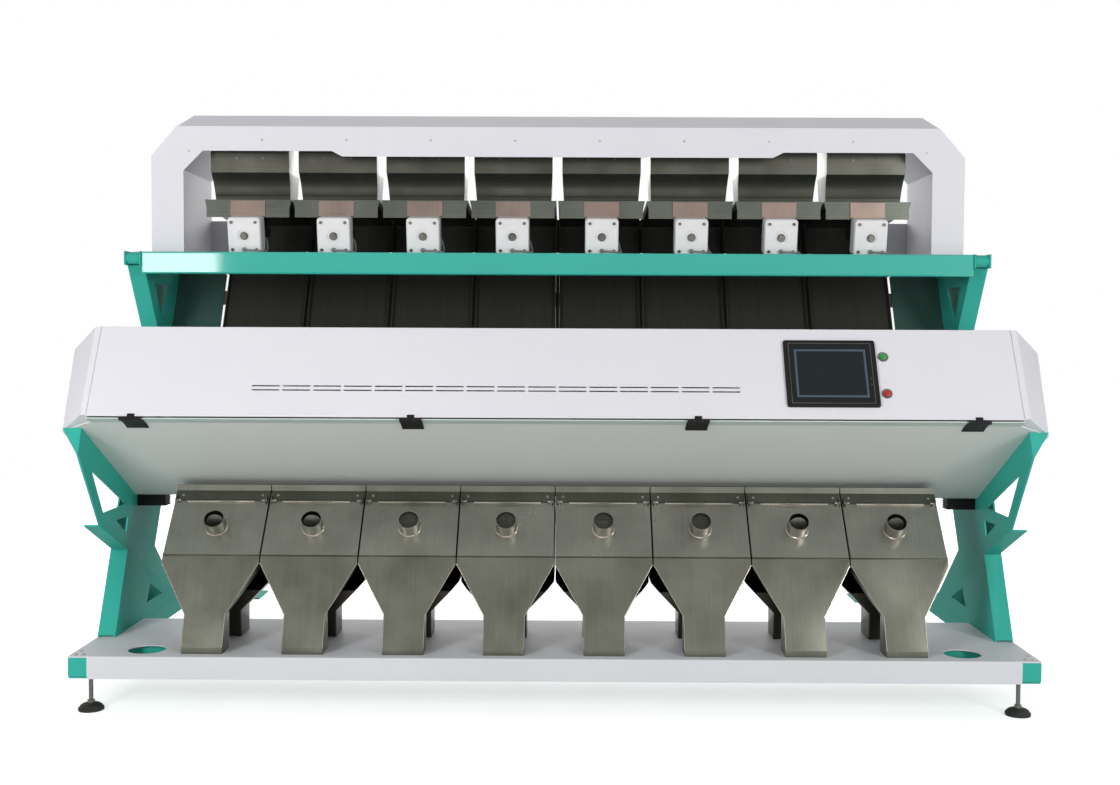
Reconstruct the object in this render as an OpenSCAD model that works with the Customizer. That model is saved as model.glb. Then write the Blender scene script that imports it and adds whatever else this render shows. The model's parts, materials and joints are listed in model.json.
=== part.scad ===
/* [Layout] */
// Spacing of the eight sorting lanes
pitch = 320; // [300:1:340]
// From the outer lane to the end of the front door
box_margin = 151; // [120:1:170]
// Gap between the end of the front door and the side frame
frame_gap = 40; // [30:1:60]
// Running gap between pieces that move past each other
clear = 0.3; // [0.2:0.05:0.5]

/* [Base] */
// Height of the base frame above the floor
foot_h = 113; // [90:1:140]
// Height of the base from its underside to the platform
base_h = 72; // [60:1:100]
// Front to back length of the side beams
base_depth = 1420; // [1300:1:1500]
// Wall of the square tubes
tube_t = 4; // [3:0.5:6]
// Thickness of the foot mounting plates
corner_t = 8; // [6:1:12]
// Side to side reach of a foot mounting plate
corner_w = 250; // [200:1:300]
// Front to back reach of a foot mounting plate
corner_d = 160; // [130:1:165]
// Front edge of the front cross tube of the base
base_cross_y = 170; // [166:1:180]
// Width of the base cross tubes
base_cross_w = 60; // [40:1:70]
// Thickness of the platform and its apron
plate_t = 4; // [3:0.5:6]
// Diameter of the round cable holes in the platform
cable_hole_d = 120; // [80:1:140]
// Distance of a cable hole from the side frame
cable_hole_in = 160; // [120:1:180]
// Distance of a cable hole from the front edge
cable_hole_y = 100; // [80:1:105]

/* [Feet] */
// Diameter of a rubber pad
pad_d = 80; // [60:1:100]
// Height of a rubber pad
pad_h = 22; // [15:1:30]
// Diameter of a levelling stud
stud_d = 14; // [10:1:16]
// Height of a stud nut
nut_h = 11; // [8:1:14]
// Width of a stud nut across its flats
nut_af = 22; // [20:1:24]
// Distance of a foot from the front and rear ends
foot_end = 57; // [50:1:100]
// Distance of a foot outside the inner face of its side frame
foot_out = 7; // [5:1:20]

/* [Side frames] */
// Width of a side frame over both plates
frame_w = 59; // [50:1:70]
// Thickness of the frame plates and flanges
frame_t = 6; // [4:1:8]
// Front edge of the post on the platform
post_y = 262; // [255:1:275]
// Front to back width of the post on the platform
post_w = 300; // [290:1:320]
// Height at which the front arm leaves the post
arm_root_h = 273; // [265:1:280]
// Elbow of the front arm
arm_elbow_y = 135; // [120:1:150]
// Height of the elbow
arm_elbow_h = 391; // [380:1:400]
// Foremost point of the front arm
arm_tip_y = -52; // [-60:1:-45]
// Height of the foremost point
arm_tip_h = 646; // [630:1:660]
// Front edge of the upper arm at the hood
upper_tip_y = 562; // [555:1:564]
// Height of the upper arm's tip
upper_tip_t = 49; // [46:1:52]
// Run of the slope under the upper arm's tip
upper_tip_run = 38; // [34:1:42]
// Rear edge of the frame under the hood
upper_rear_y = 1215; // [1190:1:1250]
// Forward lean of that rear edge down to the front box's top
upper_rear_lean = 73; // [65:1:80]
// Height of the frame top, where the hood stands
frame_top_h = 1308; // [1300:1:1312]
// Rear end of the brace foot
brace_y = 985; // [940:1:1040]
// Height at which the brace meets the post
brace_h = 240; // [220:1:280]
// Run of the brace from its foot to the post
brace_run = 289; // [270:1:300]
// Length of the arm's nose along the front box's underside
arm_nose = 36; // [30:1:40]
// Gap from the front box's rear wall to the frame
back_gap = 9; // [6:1:12]

/* [Cross beam] */
// Height of the green cross beam
beam_h = 78; // [70:1:79]
// Depth of the green cross beam
beam_d = 60; // [50:1:64]
// Sheet thickness of the cross beam
beam_t = 4; // [3:0.5:6]
// Diameter of the tie tube at each arm tip
tie_d = 42; // [30:1:44]

/* [Hood] */
// From the outer lane to the side of the hood
hood_margin = 175; // [165:1:180]
// Front face of the hood
hood_y = 642; // [636:1:650]
// Rear edge of the hood
hood_back_y = 1427; // [1421:1:1500]
// Height of the hood above the side frames
hood_h = 501; // [495:1:520]
// Sheet thickness of the hood
hood_t = 3; // [2:0.5:4]
// Rise of the sloping strip over the fascia
strip_rise = 50; // [40:1:60]
// Depth of the sloping strip over the fascia
strip_d = 72; // [60:1:75]
// Width of the corner chamfer
chamfer_w = 133; // [110:1:150]
// Height of the corner chamfer
chamfer_h = 155; // [130:1:170]
// Side margin of the hood opening
open_side = 115; // [100:1:125]
// Depth of the fascia over the ends of the opening
open_end_drop = 87; // [80:1:90]
// Extra depth of the fascia over the middle of the opening
open_step = 19; // [10:1:25]
// Half width of the deeper middle of the fascia
open_mid = 770; // [600:1:820]
// Size of the chamfer at the opening's upper corners
open_chamfer = 70; // [50:1:80]
// Height of the rear panel of the hood
rear_panel_h = 180; // [140:1:220]

/* [Feed] */
// Width of a feed hopper
feed_w = 285; // [270:1:295]
// Front face of the feed hoppers
feed_y = 722; // [718:1:730]
// Depth of a feed hopper
feed_d = 180; // [150:1:220]
// Sheet thickness of hoppers and trays
sheet_t = 2.5; // [1.5:0.5:3]
// Height of the tapered outlet of a feed hopper
outlet_h = 99; // [80:1:110]
// Narrowing of the outlet on each side
outlet_in = 6; // [2:1:12]
// Setback of the outlet's hollow front at its foot
outlet_back = 45; // [30:1:60]
// Height of a gate plate
gate_h = 73; // [60:1:80]
// Thickness of a gate plate
gate_t = 3; // [2:0.5:3]
// Gap from a feed hopper down to the tray rim
drop_gap = 3; // [2:1:8]

/* [Trays] */
// Front face of the trays
tray_y = 690; // [686:1:694]
// Length of a tray
tray_len = 400; // [380:1:410]
// Width of a tray at its rim
tray_w = 314; // [304:1:318]
// Narrowing of a tray from rim to floor on each side
tray_flare = 7; // [3:1:12]
// Height of the tray's front apron
tray_front_h = 64; // [56:1:70]
// Height of the tray's side walls
tray_wall_h = 30; // [24:1:36]
// Downward slope of a tray toward the chute
tray_slope = 4.4; // [3:0.1:6]
// Height of the tray rim over the side frames
tray_rise = 195; // [190:1:200]
// Distance between the two leaf springs of a tray
spring_gap = 134; // [110:1:136]

/* [Vibrators] */
// Width of a vibrator casing
vib_w = 120; // [100:1:130]
// Height of a vibrator casing
vib_h = 132; // [120:1:136]
// Depth of a vibrator casing
vib_d = 66; // [55:1:68]
// Corner radius of a vibrator casing
vib_r = 14; // [8:1:20]
// Backward lean of a vibrator casing at its foot
vib_lean = 12; // [8:1:14]
// Front face of a vibrator casing at mid height
vib_y = 630; // [627:1:632]
// Height of the middle of a casing over the side frames
vib_mid_h = 60; // [58:1:62]
// Thickness of the front cover of a casing
cover_t = 5; // [3:0.5:7]
// Size of the square rail that carries the feeders
rail_w = 60; // [50:1:60]
// Front face of the feeder rail
rail_y = 716; // [712:1:722]
// Width of a feeder bracket
bracket_w = 70; // [50:1:80]
// Rise of a bracket arm above the feeder rail
bracket_rise = 108; // [104:1:112]
// Reach of a bracket arm behind the front of the feeder rail
bracket_reach = 170; // [165:1:200]
// Thickness of a bracket arm
bracket_t = 30; // [20:1:40]
// Diameter of a vibrator lead
lead_d = 7; // [5:0.5:8]
// Diameter of the gland where a lead enters its casing
gland_d = 16; // [12:1:18]
// Distance of the gland below the middle of the casing
gland_drop = 48; // [44:1:50]

/* [Chutes] */
// Slope of the chutes from level
chute_angle = 62.7; // [61:0.1:64]
// Chute face at the top of the front box
chute_y = 923; // [905:1:935]
// Lower end of the chutes above the platform
chute_low_h = 588; // [575:1:600]
// Upper end of the chutes above the platform
chute_top_h = 1475; // [1465:1:1480]
// Width of one chute
chute_w = 306; // [290:1:306]
// Thickness of a chute
chute_t = 4; // [3:0.5:6]
// Height of a chute's side rail
chute_rail_h = 15; // [10:1:20]
// Size of the square bars behind the chutes
bar_w = 40; // [30:1:44]
// Height of the lower bar behind the chutes
bar_low_h = 820; // [800:1:840]
// Height of the upper bar behind the chutes
bar_top_h = 1150; // [1120:1:1180]

/* [Front box] */
// Foremost edge of the front box
crease_y = -98; // [-105:1:-90]
// Height of the foremost edge above the platform
crease_h = 762; // [755:1:770]
// Upper edge of the front door, front to back
top_y = 52; // [40:1:60]
// Top of the front box above the platform
top_h = 1038; // [1030:1:1050]
// Rear edge of the box top
top_back_y = 740; // [730:1:742]
// Rear lower edge of the box
low_y = 489; // [480:1:495]
// Height of the rear lower edge
low_h = 457; // [452:1:465]
// Front edge of the sloping underside
under_y = -58; // [-64:1:-52]
// Fall of the sill strip from the door to the underside
sill_fall = 16; // [14:1:18]
// Sheet thickness of the box
box_t = 3; // [2:0.5:4]
// Width of the bevelled end caps
cap_w = 109; // [102:1:130]
// Width of an end cap's flat strip beside the door
cap_lip = 18; // [10:1:25]
// Setback of an end cap's outer face at the front
cap_in = 62; // [50:1:75]
// Fall of an end cap's outer face at the top
cap_drop = 73; // [60:1:85]

/* [Front door] */
// Sheet thickness of the door
door_t = 2; // [1.5:0.5:3]
// Depth of the folded rim of the door
door_rim = 16; // [10:1:18]
// Gap round the door
door_gap = 3; // [2:0.5:5]
// Vent slots in each row
vent_count = 16; // [8:1:18]
// Length of a vent slot
vent_len = 85; // [60:1:90]
// Height of a vent slot
vent_h = 4.5; // [3:0.5:6]
// Spacing of vent slots along a row
vent_pitch = 94.5; // [92:0.5:98]
// Middle of the vent rows, to the left of the middle
vent_x = 181; // [150:1:220]
// Height of the lower vent row on the door
vent_low = 92; // [80:1:120]
// Spacing of the two vent rows
vent_gap = 14; // [10:1:20]
// Outside diameter of a hinge knuckle
knuckle_d = 12; // [10:0.5:13]
// Diameter of a hinge pin
pin_d = 5; // [4:0.5:6]
// Length of a hinge
hinge_w = 68; // [60:1:70]
// Reach of a hinge onto the underside
hinge_under = 30; // [20:1:40]
// Reach of a hinge up the door
hinge_up = 8; // [6:1:24]
// Place of the outer hinges
hinge_out_x = 1292; // [1200:1:1350]
// Place of the inner hinges
hinge_in_x = 438; // [300:1:600]

/* [Operator panel] */
// Middle of the screen
screen_x = 854; // [780:1:880]
// Width of the screen frame
screen_w = 285; // [240:1:290]
// Height of the screen frame
screen_h = 230; // [190:1:240]
// Width of the glass
glass_w = 226; // [180:1:230]
// Height of the glass
glass_h = 170; // [130:1:176]
// Thickness of the screen frame in front of the door
screen_t = 8; // [6:0.5:12]
// Depth of the screen housing behind the door
screen_back = 46; // [30:1:60]
// Middle of the buttons
button_x = 1020; // [1012:1:1060]
// Distance of the start button below the top of the door
start_drop = 97; // [80:1:120]
// Height of the stop button on the door
stop_h = 90; // [70:1:120]
// Diameter of a button cap
button_d = 22; // [16:1:24]
// Travel of a button
button_travel = 4; // [2:0.5:5]

/* [Hoppers] */
// Width of a hopper
hopper_w = 316; // [300:1:318]
// Top edge of the hopper's sloping front
hopper_y = 334; // [328:1:340]
// Top of the hoppers above the platform
hopper_h = 487; // [478:1:492]
// Foremost point of a hopper at the foot of its lid
hopper_nose_y = 160; // [150:1:170]
// Height of that foremost point
hopper_nose_h = 293; // [285:1:300]
// Height of the flange along the top of a front hopper
hopper_lip = 20; // [12:1:24]
// Height at which the front hopper's sides start to narrow
neck_top_h = 273; // [265:1:280]
// Height at which the front hopper reaches its spout
neck_low_h = 118; // [105:1:130]
// Height at which the rear hopper's sides start to narrow
rear_neck_top_h = 185; // [175:1:200]
// Height at which the rear hopper reaches its spout
rear_neck_low_h = 88; // [75:1:100]
// Front of the front spout
spout_y = 40; // [34:1:46]
// Depth of the front spout
spout_d = 95; // [80:1:100]
// Width of a spout
spout_w = 130; // [110:1:140]
// Wall where the front and rear hoppers meet at the top
split_y = 548; // [540:1:556]
// Forward lean of the wall where the hoppers meet
split_lean = 110; // [90:1:120]
// Rear edge of the rear hoppers
hopper_back_y = 752; // [740:1:760]
// Front of the rear spout
rear_spout_y = 292; // [286:1:300]
// Depth of the rear spout
rear_spout_d = 120; // [100:1:140]
// Reach of a spout below the platform top
spout_drop = 22; // [10:1:40]

/* [Lids] */
// Distance from the hopper top down to the lid
lid_start = 46; // [42:1:60]
// Sheet thickness of a lid
lid_t = 2; // [1.5:0.5:3]
// Outside diameter of the dust pipe stub
stub_d = 70; // [60:1:80]
// Wall of the dust pipe stub
stub_t = 3; // [2:0.5:4]
// Length of the dust pipe stub
stub_len = 50; // [40:1:70]
// Distance of the stub from the top of the hopper slope
stub_s = 148; // [135:1:160]
// Length of the handle strip across a lid
grip_len = 225; // [180:1:240]
// Diameter of a pivot bolt
bolt_d = 6; // [5:0.5:8]

/* [Optics and ejectors] */
// Diameter of a lamp tube
lamp_d = 26; // [16:1:30]
// Size of a camera body
camera_w = 60; // [50:1:70]
// Height of the valve beam above the platform
valve_h = 496; // [494:1:510]
// Front of the valve beam
valve_y = 536; // [532:1:540]
// Size of the square valve beam
valve_w = 48; // [40:1:48]
// Height of the viewing slot in the box walls, along the wall
slot_len = 110; // [90:1:130]
// Thickness of the viewing glass
view_t = 3; // [2:0.5:4]
// Side to side length of an air block
air_w = 100; // [80:1:110]
// Front to back depth of an air block
air_d = 60; // [50:1:70]
// Height of an air block
air_h = 42; // [36:1:46]
// Height of the rear box above the platform
rear_low_h = 528; // [522:1:540]
// Height of the rear box
rear_box_h = 440; // [400:1:460]
// Rear face of the rear box
rear_box_y = 1320; // [1280:1:1360]

/* [Hidden] */
$fn = 48;
e = 1;
hairline = 0.05;
lanes = 8;
green = "#45b8a8";
white = "#e4e3e8";
grey = "#a8ada9";
steel = "#8d8b82";
zinc = "#b4b4b0";
black = "#17191a";
dark = "#33352e";

// Half widths, from the lanes outward
lane_half = lanes * pitch / 2;
box_half = lane_half + box_margin;
frame_in = box_half + frame_gap;
frame_out = frame_in + frame_w;
hood_half = lane_half + hood_margin;
cap_half = box_half + cap_w;
foot_x = frame_in + foot_out;

// Heights and the middle of the whole part
platform_z = foot_h + base_h;
beam_low_z = foot_h + corner_t;
beam_top_z = platform_z - plate_t;
post_back_y = post_y + post_w;
knuckle_y = crease_y - knuckle_d / 2;
knuckle_h = crease_h - 5;
front_y = knuckle_y - knuckle_d / 2;
mid_y = (front_y + hood_back_y) / 2;
hood_top_h = frame_top_h + hood_h;
fascia_top_h = hood_top_h - strip_rise;

// Slopes of the box, in front to back run per unit of height
under_h = crease_h - sill_fall;
door_lean = atan2(top_y - crease_y, top_h - crease_h);
door_len = norm([top_y - crease_y, top_h - crease_h]);
start_h = door_len - start_drop;
under_fall = atan2(under_h - low_h, low_y - under_y);
under_drop = box_t / cos(under_fall);
back_lean = atan2(top_back_y - low_y, top_h - low_h);
lid_fall = atan2(hopper_h - hopper_nose_h, hopper_y - hopper_nose_y);
lid_slope_len = norm([hopper_y - hopper_nose_y, hopper_h - hopper_nose_h]);

function lane_x(i) = (i - (lanes + 1) / 2) * pitch;
function under_at(y) = under_h - (y - under_y) * tan(under_fall);
function back_at(h) = low_y + (h - low_h) * tan(back_lean);
function chute_at(h) = chute_y + (h - top_h) / tan(chute_angle);
function post_front_at(h) = post_y + h * (low_y - post_y) / low_h;
function chute_s(h) = (h - top_h) / sin(chute_angle);
arm_nose_end = [under_y + arm_nose, under_at(under_y + arm_nose) - under_drop - clear];

// Places from the front edge of the base on the floor to the middle of the part
module on_floor() {
  translate([0, -mid_y, 0]) children();
}

// Places heights measured from the platform
module on_deck() {
  translate([0, -mid_y, platform_z]) children();
}

// Draws its children at the middle of each lane
module each_lane() {
  for (i = [1 : lanes]) translate([lane_x(i), 0, 0]) children();
}

// Draws its children on both sides, the left one mirrored
module both_sides() {
  children();
  mirror([1, 0, 0]) children();
}

// Extrudes a front to back outline across the machine
module along_x(x0, x1) {
  translate([x0, 0, 0]) rotate([90, 0, 90]) linear_extrude(x1 - x0) children();
}

// Extrudes a side to side outline from front to back
module along_y(y0, y1) {
  translate([0, y1, 0]) rotate([90, 0, 0]) linear_extrude(y1 - y0) children();
}

// Rectangle with round corners, drawn from its middle
module round_rect(w, h, r) {
  square([w - 2 * r, h], center = true);
  square([w, h - 2 * r], center = true);
  for (x = [-1, 1], y = [-1, 1]) translate([x * (w / 2 - r), y * (h / 2 - r)]) circle(r);
}

// Square tube across the machine with its front lower edge at the given place
module cross_tube(half, y, h, w, tall) {
  along_x(-half, half) difference() {
    translate([y, h]) square([w, tall]);
    translate([y + tube_t, h + tube_t]) square([w - 2 * tube_t, tall - 2 * tube_t]);
  }
}

// Flat bars along a front to back path, as thick as the frame plates, closed at their corners
function side_step(p, q) = let (d = (q - p) / norm(q - p)) [-d[1], d[0]] * frame_t;
module flange(path) {
  last = len(path) - 1;
  for (i = [0 : last - 1]) {
    n = side_step(path[i], path[i + 1]);
    polygon([path[i], path[i + 1], path[i + 1] + n, path[i] + n]);
    if (i > 0) polygon([path[i], path[i] + n, path[i] + side_step(path[i - 1], path[i])]);
  }
}

module base_frame() {
  color(green) on_floor() {
    both_sides() difference() {
      union() {
        difference() {
          translate([frame_in, 0, beam_low_z])
            cube([frame_w, base_depth, beam_top_z - beam_low_z]);
          translate([frame_in + tube_t, tube_t, beam_low_z + tube_t])
            cube([frame_w - 2 * tube_t, base_depth, beam_top_z - beam_low_z - 2 * tube_t]);
        }
        translate([frame_in - corner_w, plate_t, foot_h])
          cube([corner_w + frame_w, corner_d, corner_t]);
        translate([frame_in - corner_w, base_depth - corner_d, foot_h])
          cube([corner_w + frame_w, corner_d, corner_t]);
      }
      for (y = [foot_end, base_depth - foot_end])
        translate([foot_x, y, foot_h - e]) cylinder(d = stud_d + 2 * clear, h = corner_t + e);
    }
    cross_tube(frame_in, base_cross_y, beam_low_z, base_cross_w, beam_top_z - beam_low_z);
    cross_tube(frame_in, post_back_y - base_cross_w, beam_low_z, base_cross_w, beam_top_z - beam_low_z);
  }
}

module spout_hole(y, d) {
  translate([-spout_w / 2 - clear, y - clear, -plate_t - e])
    cube([spout_w + 2 * clear, d + 2 * clear, plate_t + 2 * e]);
}

module platform_plate() {
  color("#cfd1d4") on_deck() difference() {
    union() {
      translate([-frame_out, 0, -plate_t]) cube([2 * frame_out, post_back_y, plate_t]);
      translate([-frame_in, 0, -base_h]) cube([2 * frame_in, plate_t, base_h]);
    }
    each_lane() {
      spout_hole(spout_y, spout_d);
      spout_hole(rear_spout_y, rear_spout_d);
    }
    both_sides() translate([frame_in - cable_hole_in, cable_hole_y, -plate_t - e])
      cylinder(d = cable_hole_d, h = plate_t + 2 * e);
  }
}

// Side outline of a frame: post, front arm, upper arm and brace, with its cut-outs
module frame_outline() {
  under = under_drop + clear;
  difference() {
    union() {
      polygon([
        [post_y, 0], [post_front_at(arm_root_h), arm_root_h], [arm_elbow_y, arm_elbow_h],
        [arm_tip_y, arm_tip_h], arm_nose_end,
        [low_y + back_gap / 2, under_at(low_y + back_gap / 2) - under], [low_y + back_gap, low_h],
        [back_at(top_h) + back_gap, top_h], [upper_tip_y + upper_tip_run, frame_top_h - upper_tip_t],
        [upper_tip_y, frame_top_h - upper_tip_t], [upper_tip_y, frame_top_h], [upper_rear_y, frame_top_h],
        [upper_rear_y - upper_rear_lean, top_h], [post_back_y, 0]
      ]);
      polygon([[post_back_y, 0], [post_back_y, -plate_t], [brace_y, -plate_t],
               [brace_y - brace_run, brace_h], [post_back_y + corner_w / 8, brace_h / 4]]);
    }
    polygon([[arm_tip_y + 114, arm_tip_h - 63], [low_y - 101, low_h - 24],
             [arm_elbow_y + 30, arm_elbow_h + 40]]);
    polygon([[arm_elbow_y + 149, arm_elbow_h], [low_y - 80, arm_elbow_h - 3],
             [low_y - 101, arm_root_h + 61]]);
    polygon([[post_back_y + 76, brace_h - 127], [post_back_y + 214, brace_h - 191],
             [post_back_y + 34, brace_h - 194]]);
    polygon([[upper_rear_y - 495, frame_top_h - 108], [upper_rear_y - 315, frame_top_h - 108],
             [upper_rear_y - 415, top_h + 37]]);
  }
}

// Outer plate of a frame: it ends at the post and leaves the front arm single
module post_outline() {
  difference() {
    frame_outline();
    polygon([[post_front_at(arm_root_h), arm_root_h], [low_y, low_h], [low_y, crease_h],
             [arm_tip_y - e, crease_h], [arm_tip_y - e, arm_root_h]]);
  }
}

// Three-cornered plate across the nose of the front arm
module nose_gusset() {
  run = arm_nose_end[0] - arm_tip_y;
  rise = arm_nose_end[1] - arm_tip_h;
  long = norm([run, rise]) - e;
  inner = frame_in + frame_t;
  translate([0, arm_tip_y, arm_tip_h]) rotate([atan2(rise, run), 0, 0]) translate([0, 0, -frame_t])
    linear_extrude(frame_t) polygon([[inner, 0], [inner, long], [frame_out, long]]);
}

module side_frame() {
  elbow = [arm_elbow_y, arm_elbow_h];
  root = [post_front_at(arm_root_h), arm_root_h];
  along_x(frame_in, frame_in + frame_t) frame_outline();
  along_x(frame_out - frame_t, frame_out) post_outline();
  nose_gusset();
  along_x(frame_in + frame_t, frame_out - frame_t) {
    flange([elbow, root, [post_front_at(frame_t), frame_t]]);
    flange([[upper_tip_y + upper_tip_run, frame_top_h - upper_tip_t], [back_at(top_h) + back_gap, top_h]]);
    translate([upper_tip_y + tie_d / 2 + 3, frame_top_h - tie_d / 2 - 3]) difference() {
      circle(d = tie_d);
      circle(d = tie_d - 2 * tube_t);
    }
  }
}

module side_frame_right() {
  color(green) on_deck() side_frame();
}

module side_frame_left() {
  color(green) on_deck() mirror([1, 0, 0]) side_frame();
}

// Folded channel, open to the rear, with a plate at each end
module cross_beam() {
  y0 = upper_tip_y + 3;
  h0 = frame_top_h - 1 - beam_h;
  color(green) on_deck() {
    along_x(-frame_in, frame_in) difference() {
      translate([y0, h0]) square([beam_d, beam_h]);
      translate([y0 + beam_t, h0 + beam_t]) square([beam_d, beam_h - 2 * beam_t]);
    }
    both_sides() translate([frame_in - beam_t, y0, h0]) cube([beam_t, beam_d, beam_h]);
  }
}

// Draws its children at each of the four feet
module each_foot() {
  for (x = [-1, 1], y = [foot_end, base_depth - foot_end])
    translate([x * foot_x, y, 0]) children();
}

module foot_pads() {
  skirt_h = pad_h * 0.4;
  neck_r = nut_af / 2 + 7;
  ledge = 3;
  dome_r = pad_d / 2 - ledge - neck_r;
  color(black) on_floor() each_foot() rotate_extrude($fn = 32) polygon(concat(
    [[0, 0], [pad_d / 2, 0], [pad_d / 2, skirt_h]],
    [for (a = [0 : 30 : 90]) [neck_r + dome_r * cos(a), skirt_h + (pad_h - skirt_h) * sin(a)]],
    [[0, pad_h]]));
}

module hex_nut(af, h, bore) {
  difference() {
    cylinder(d = af / cos(30), h = h, $fn = 6);
    translate([0, 0, -e]) cylinder(d = bore, h = h + 2 * e);
  }
}

module foot_studs() {
  color(zinc) on_floor() each_foot() {
    translate([0, 0, pad_h]) cylinder(d = stud_d, h = foot_h + corner_t - pad_h);
    translate([0, 0, pad_h]) hex_nut(nut_af, nut_h, stud_d + clear);
    translate([0, 0, foot_h - nut_h]) hex_nut(nut_af, nut_h, stud_d + clear);
  }
}

// Front outline of the hood, pulled in by w all round
module hood_front(w) {
  x1 = hood_half - w;
  z1 = hood_top_h - w;
  polygon([[-x1, frame_top_h - w], [x1, frame_top_h - w], [x1, z1 - chamfer_h],
           [x1 - chamfer_w, z1], [-x1 + chamfer_w, z1], [-x1, z1 - chamfer_h]]);
}

module hood_shell() {
  y0 = hood_y + hood_t;
  y1 = hood_back_y;
  z1 = hood_top_h;
  color(white) on_deck() {
    difference() {
      intersection() {
        along_y(y0, y1) hood_front(0);
        along_x(-hood_half, hood_half)
          polygon([[y0, frame_top_h], [y0, fascia_top_h], [y0 + strip_d, z1], [y1, z1],
                   [y1, frame_top_h]]);
      }
      intersection() {
        along_y(y0 - e, y1 + e) hood_front(hood_t);
        along_x(-hood_half, hood_half)
          polygon([[y0 - e, frame_top_h - e], [y0 - e, fascia_top_h - hood_t],
                   [y0 + strip_d, z1 - hood_t], [y1 + e, z1 - hood_t], [y1 + e, frame_top_h - e]]);
      }
      each_lane() translate([-feed_w / 2 + sheet_t, feed_y + sheet_t, z1 - hood_t - e])
        cube([feed_w - 2 * sheet_t, feed_d - 2 * sheet_t, hood_t + 2 * e]);
    }
    both_sides() translate([hood_half - e, y0, frame_top_h])
      cube([frame_out - hood_half + e, upper_rear_y - y0, hood_t]);
    translate([-hood_half, y1 - hood_t, frame_top_h]) cube([2 * hood_half, hood_t, rear_panel_h]);
  }
}

// Half outline of the hood opening, from the lower corner to the middle
module fascia_opening() {
  x1 = hood_half - open_side;
  top = fascia_top_h - open_end_drop;
  low = frame_top_h - e;
  mid = top - open_step;
  polygon([[0, low], [x1, low], [x1, top - open_chamfer], [x1 - open_chamfer, top],
           [open_mid + open_step * 2, top], [open_mid, mid], [0, mid]]);
}

module hood_fascia() {
  cut = chamfer_w * (chamfer_h - strip_rise) / chamfer_h;
  color(white) on_deck() along_y(hood_y, hood_y + hood_t) difference() {
    polygon([[-hood_half, frame_top_h], [hood_half, frame_top_h],
             [hood_half, hood_top_h - chamfer_h], [hood_half - cut, fascia_top_h],
             [cut - hood_half, fascia_top_h], [-hood_half, hood_top_h - chamfer_h]]);
    fascia_opening();
    mirror([1, 0]) fascia_opening();
  }
}

// Side and front outlines of a feed hopper, pulled in by w; the outlet's front is a hollow curve
rim_h = frame_top_h + tray_rise;
feed_low_h = rim_h + drop_gap;
outlet_steps = 8;
function outlet_front(t) = [outlet_back * (1.7 * (1 - t) + t) * t,
                            outlet_h - outlet_h * (0.8 * (1 - t) + t) * t];
module feed_side(w, over) {
  top = hood_top_h - hood_t + over;
  polygon(concat(
    [for (i = [0 : outlet_steps]) outlet_front(i / outlet_steps) + [feed_y + w, feed_low_h]],
    [[feed_y + outlet_back + w, feed_low_h - over], [feed_y + feed_d - w, feed_low_h - over],
     [feed_y + feed_d - w, top], [feed_y + w, top]]));
}

module feed_front(w, over) {
  half = feed_w / 2 - w;
  polygon([[outlet_in - half, feed_low_h - over], [half - outlet_in, feed_low_h - over],
           [half, feed_low_h + outlet_h], [half, hood_top_h - hood_t + over],
           [-half, hood_top_h - hood_t + over], [-half, feed_low_h + outlet_h]]);
}

module feed_hoppers() {
  color(steel) on_deck() each_lane() difference() {
    intersection() {
      along_x(-feed_w, feed_w) feed_side(0, 0);
      along_y(feed_y - e, feed_y + feed_d + e) feed_front(0, 0);
    }
    intersection() {
      along_x(-feed_w, feed_w) feed_side(sheet_t, e);
      along_y(feed_y - e, feed_y + feed_d + e) feed_front(sheet_t, e);
    }
  }
}

module gate_plates() {
  color(steel) on_deck() each_lane()
    translate([-feed_w / 2, feed_y - gate_t, feed_low_h + outlet_h]) cube([feed_w, gate_t, gate_h]);
}

// Puts its children in the leaning frame of a vibrator: z up its front, y into it
module on_vibrator() {
  translate([0, vib_y, frame_top_h + vib_mid_h]) rotate([vib_lean, 0, 0]) children();
}

module vibrator_cases() {
  color(white) on_deck() each_lane() on_vibrator()
    translate([0, vib_d, 0]) rotate([90, 0, 0]) linear_extrude(vib_d) round_rect(vib_w, vib_h, vib_r);
}

module vibrator_covers() {
  inset = 6;
  recess_d = 44;
  color(white) on_deck() each_lane() on_vibrator() rotate([90, 0, 0]) difference() {
    linear_extrude(cover_t) round_rect(vib_w - inset, vib_h - inset, vib_r - inset / 2);
    translate([0, 0, cover_t / 2]) cylinder(d = recess_d, h = cover_t);
  }
}

module vibrator_nuts() {
  washer_d = 30;
  color(zinc) on_deck() each_lane() on_vibrator() rotate([90, 0, 0]) translate([0, 0, cover_t / 2]) {
    cylinder(d = washer_d, h = 2);
    translate([0, 0, 2]) cylinder(d = 19 / cos(30), h = 8, $fn = 6);
  }
}

module feeder_screws() {
  corner = 17;
  color(zinc) on_deck() each_lane() {
    on_vibrator() for (x = [-1, 1], z = [-1, 1])
      translate([x * (vib_w / 2 - corner), -cover_t, z * (vib_h / 2 - corner)])
        rotate([90, 0, 0]) cylinder(d = 11, h = 5);
    for (x = [-1, 1])
      translate([x * feed_w / 6, feed_y - gate_t, feed_low_h + outlet_h + gate_h * 0.7])
        rotate([90, 0, 0]) cylinder(d = 9, h = 3);
  }
}

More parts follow.
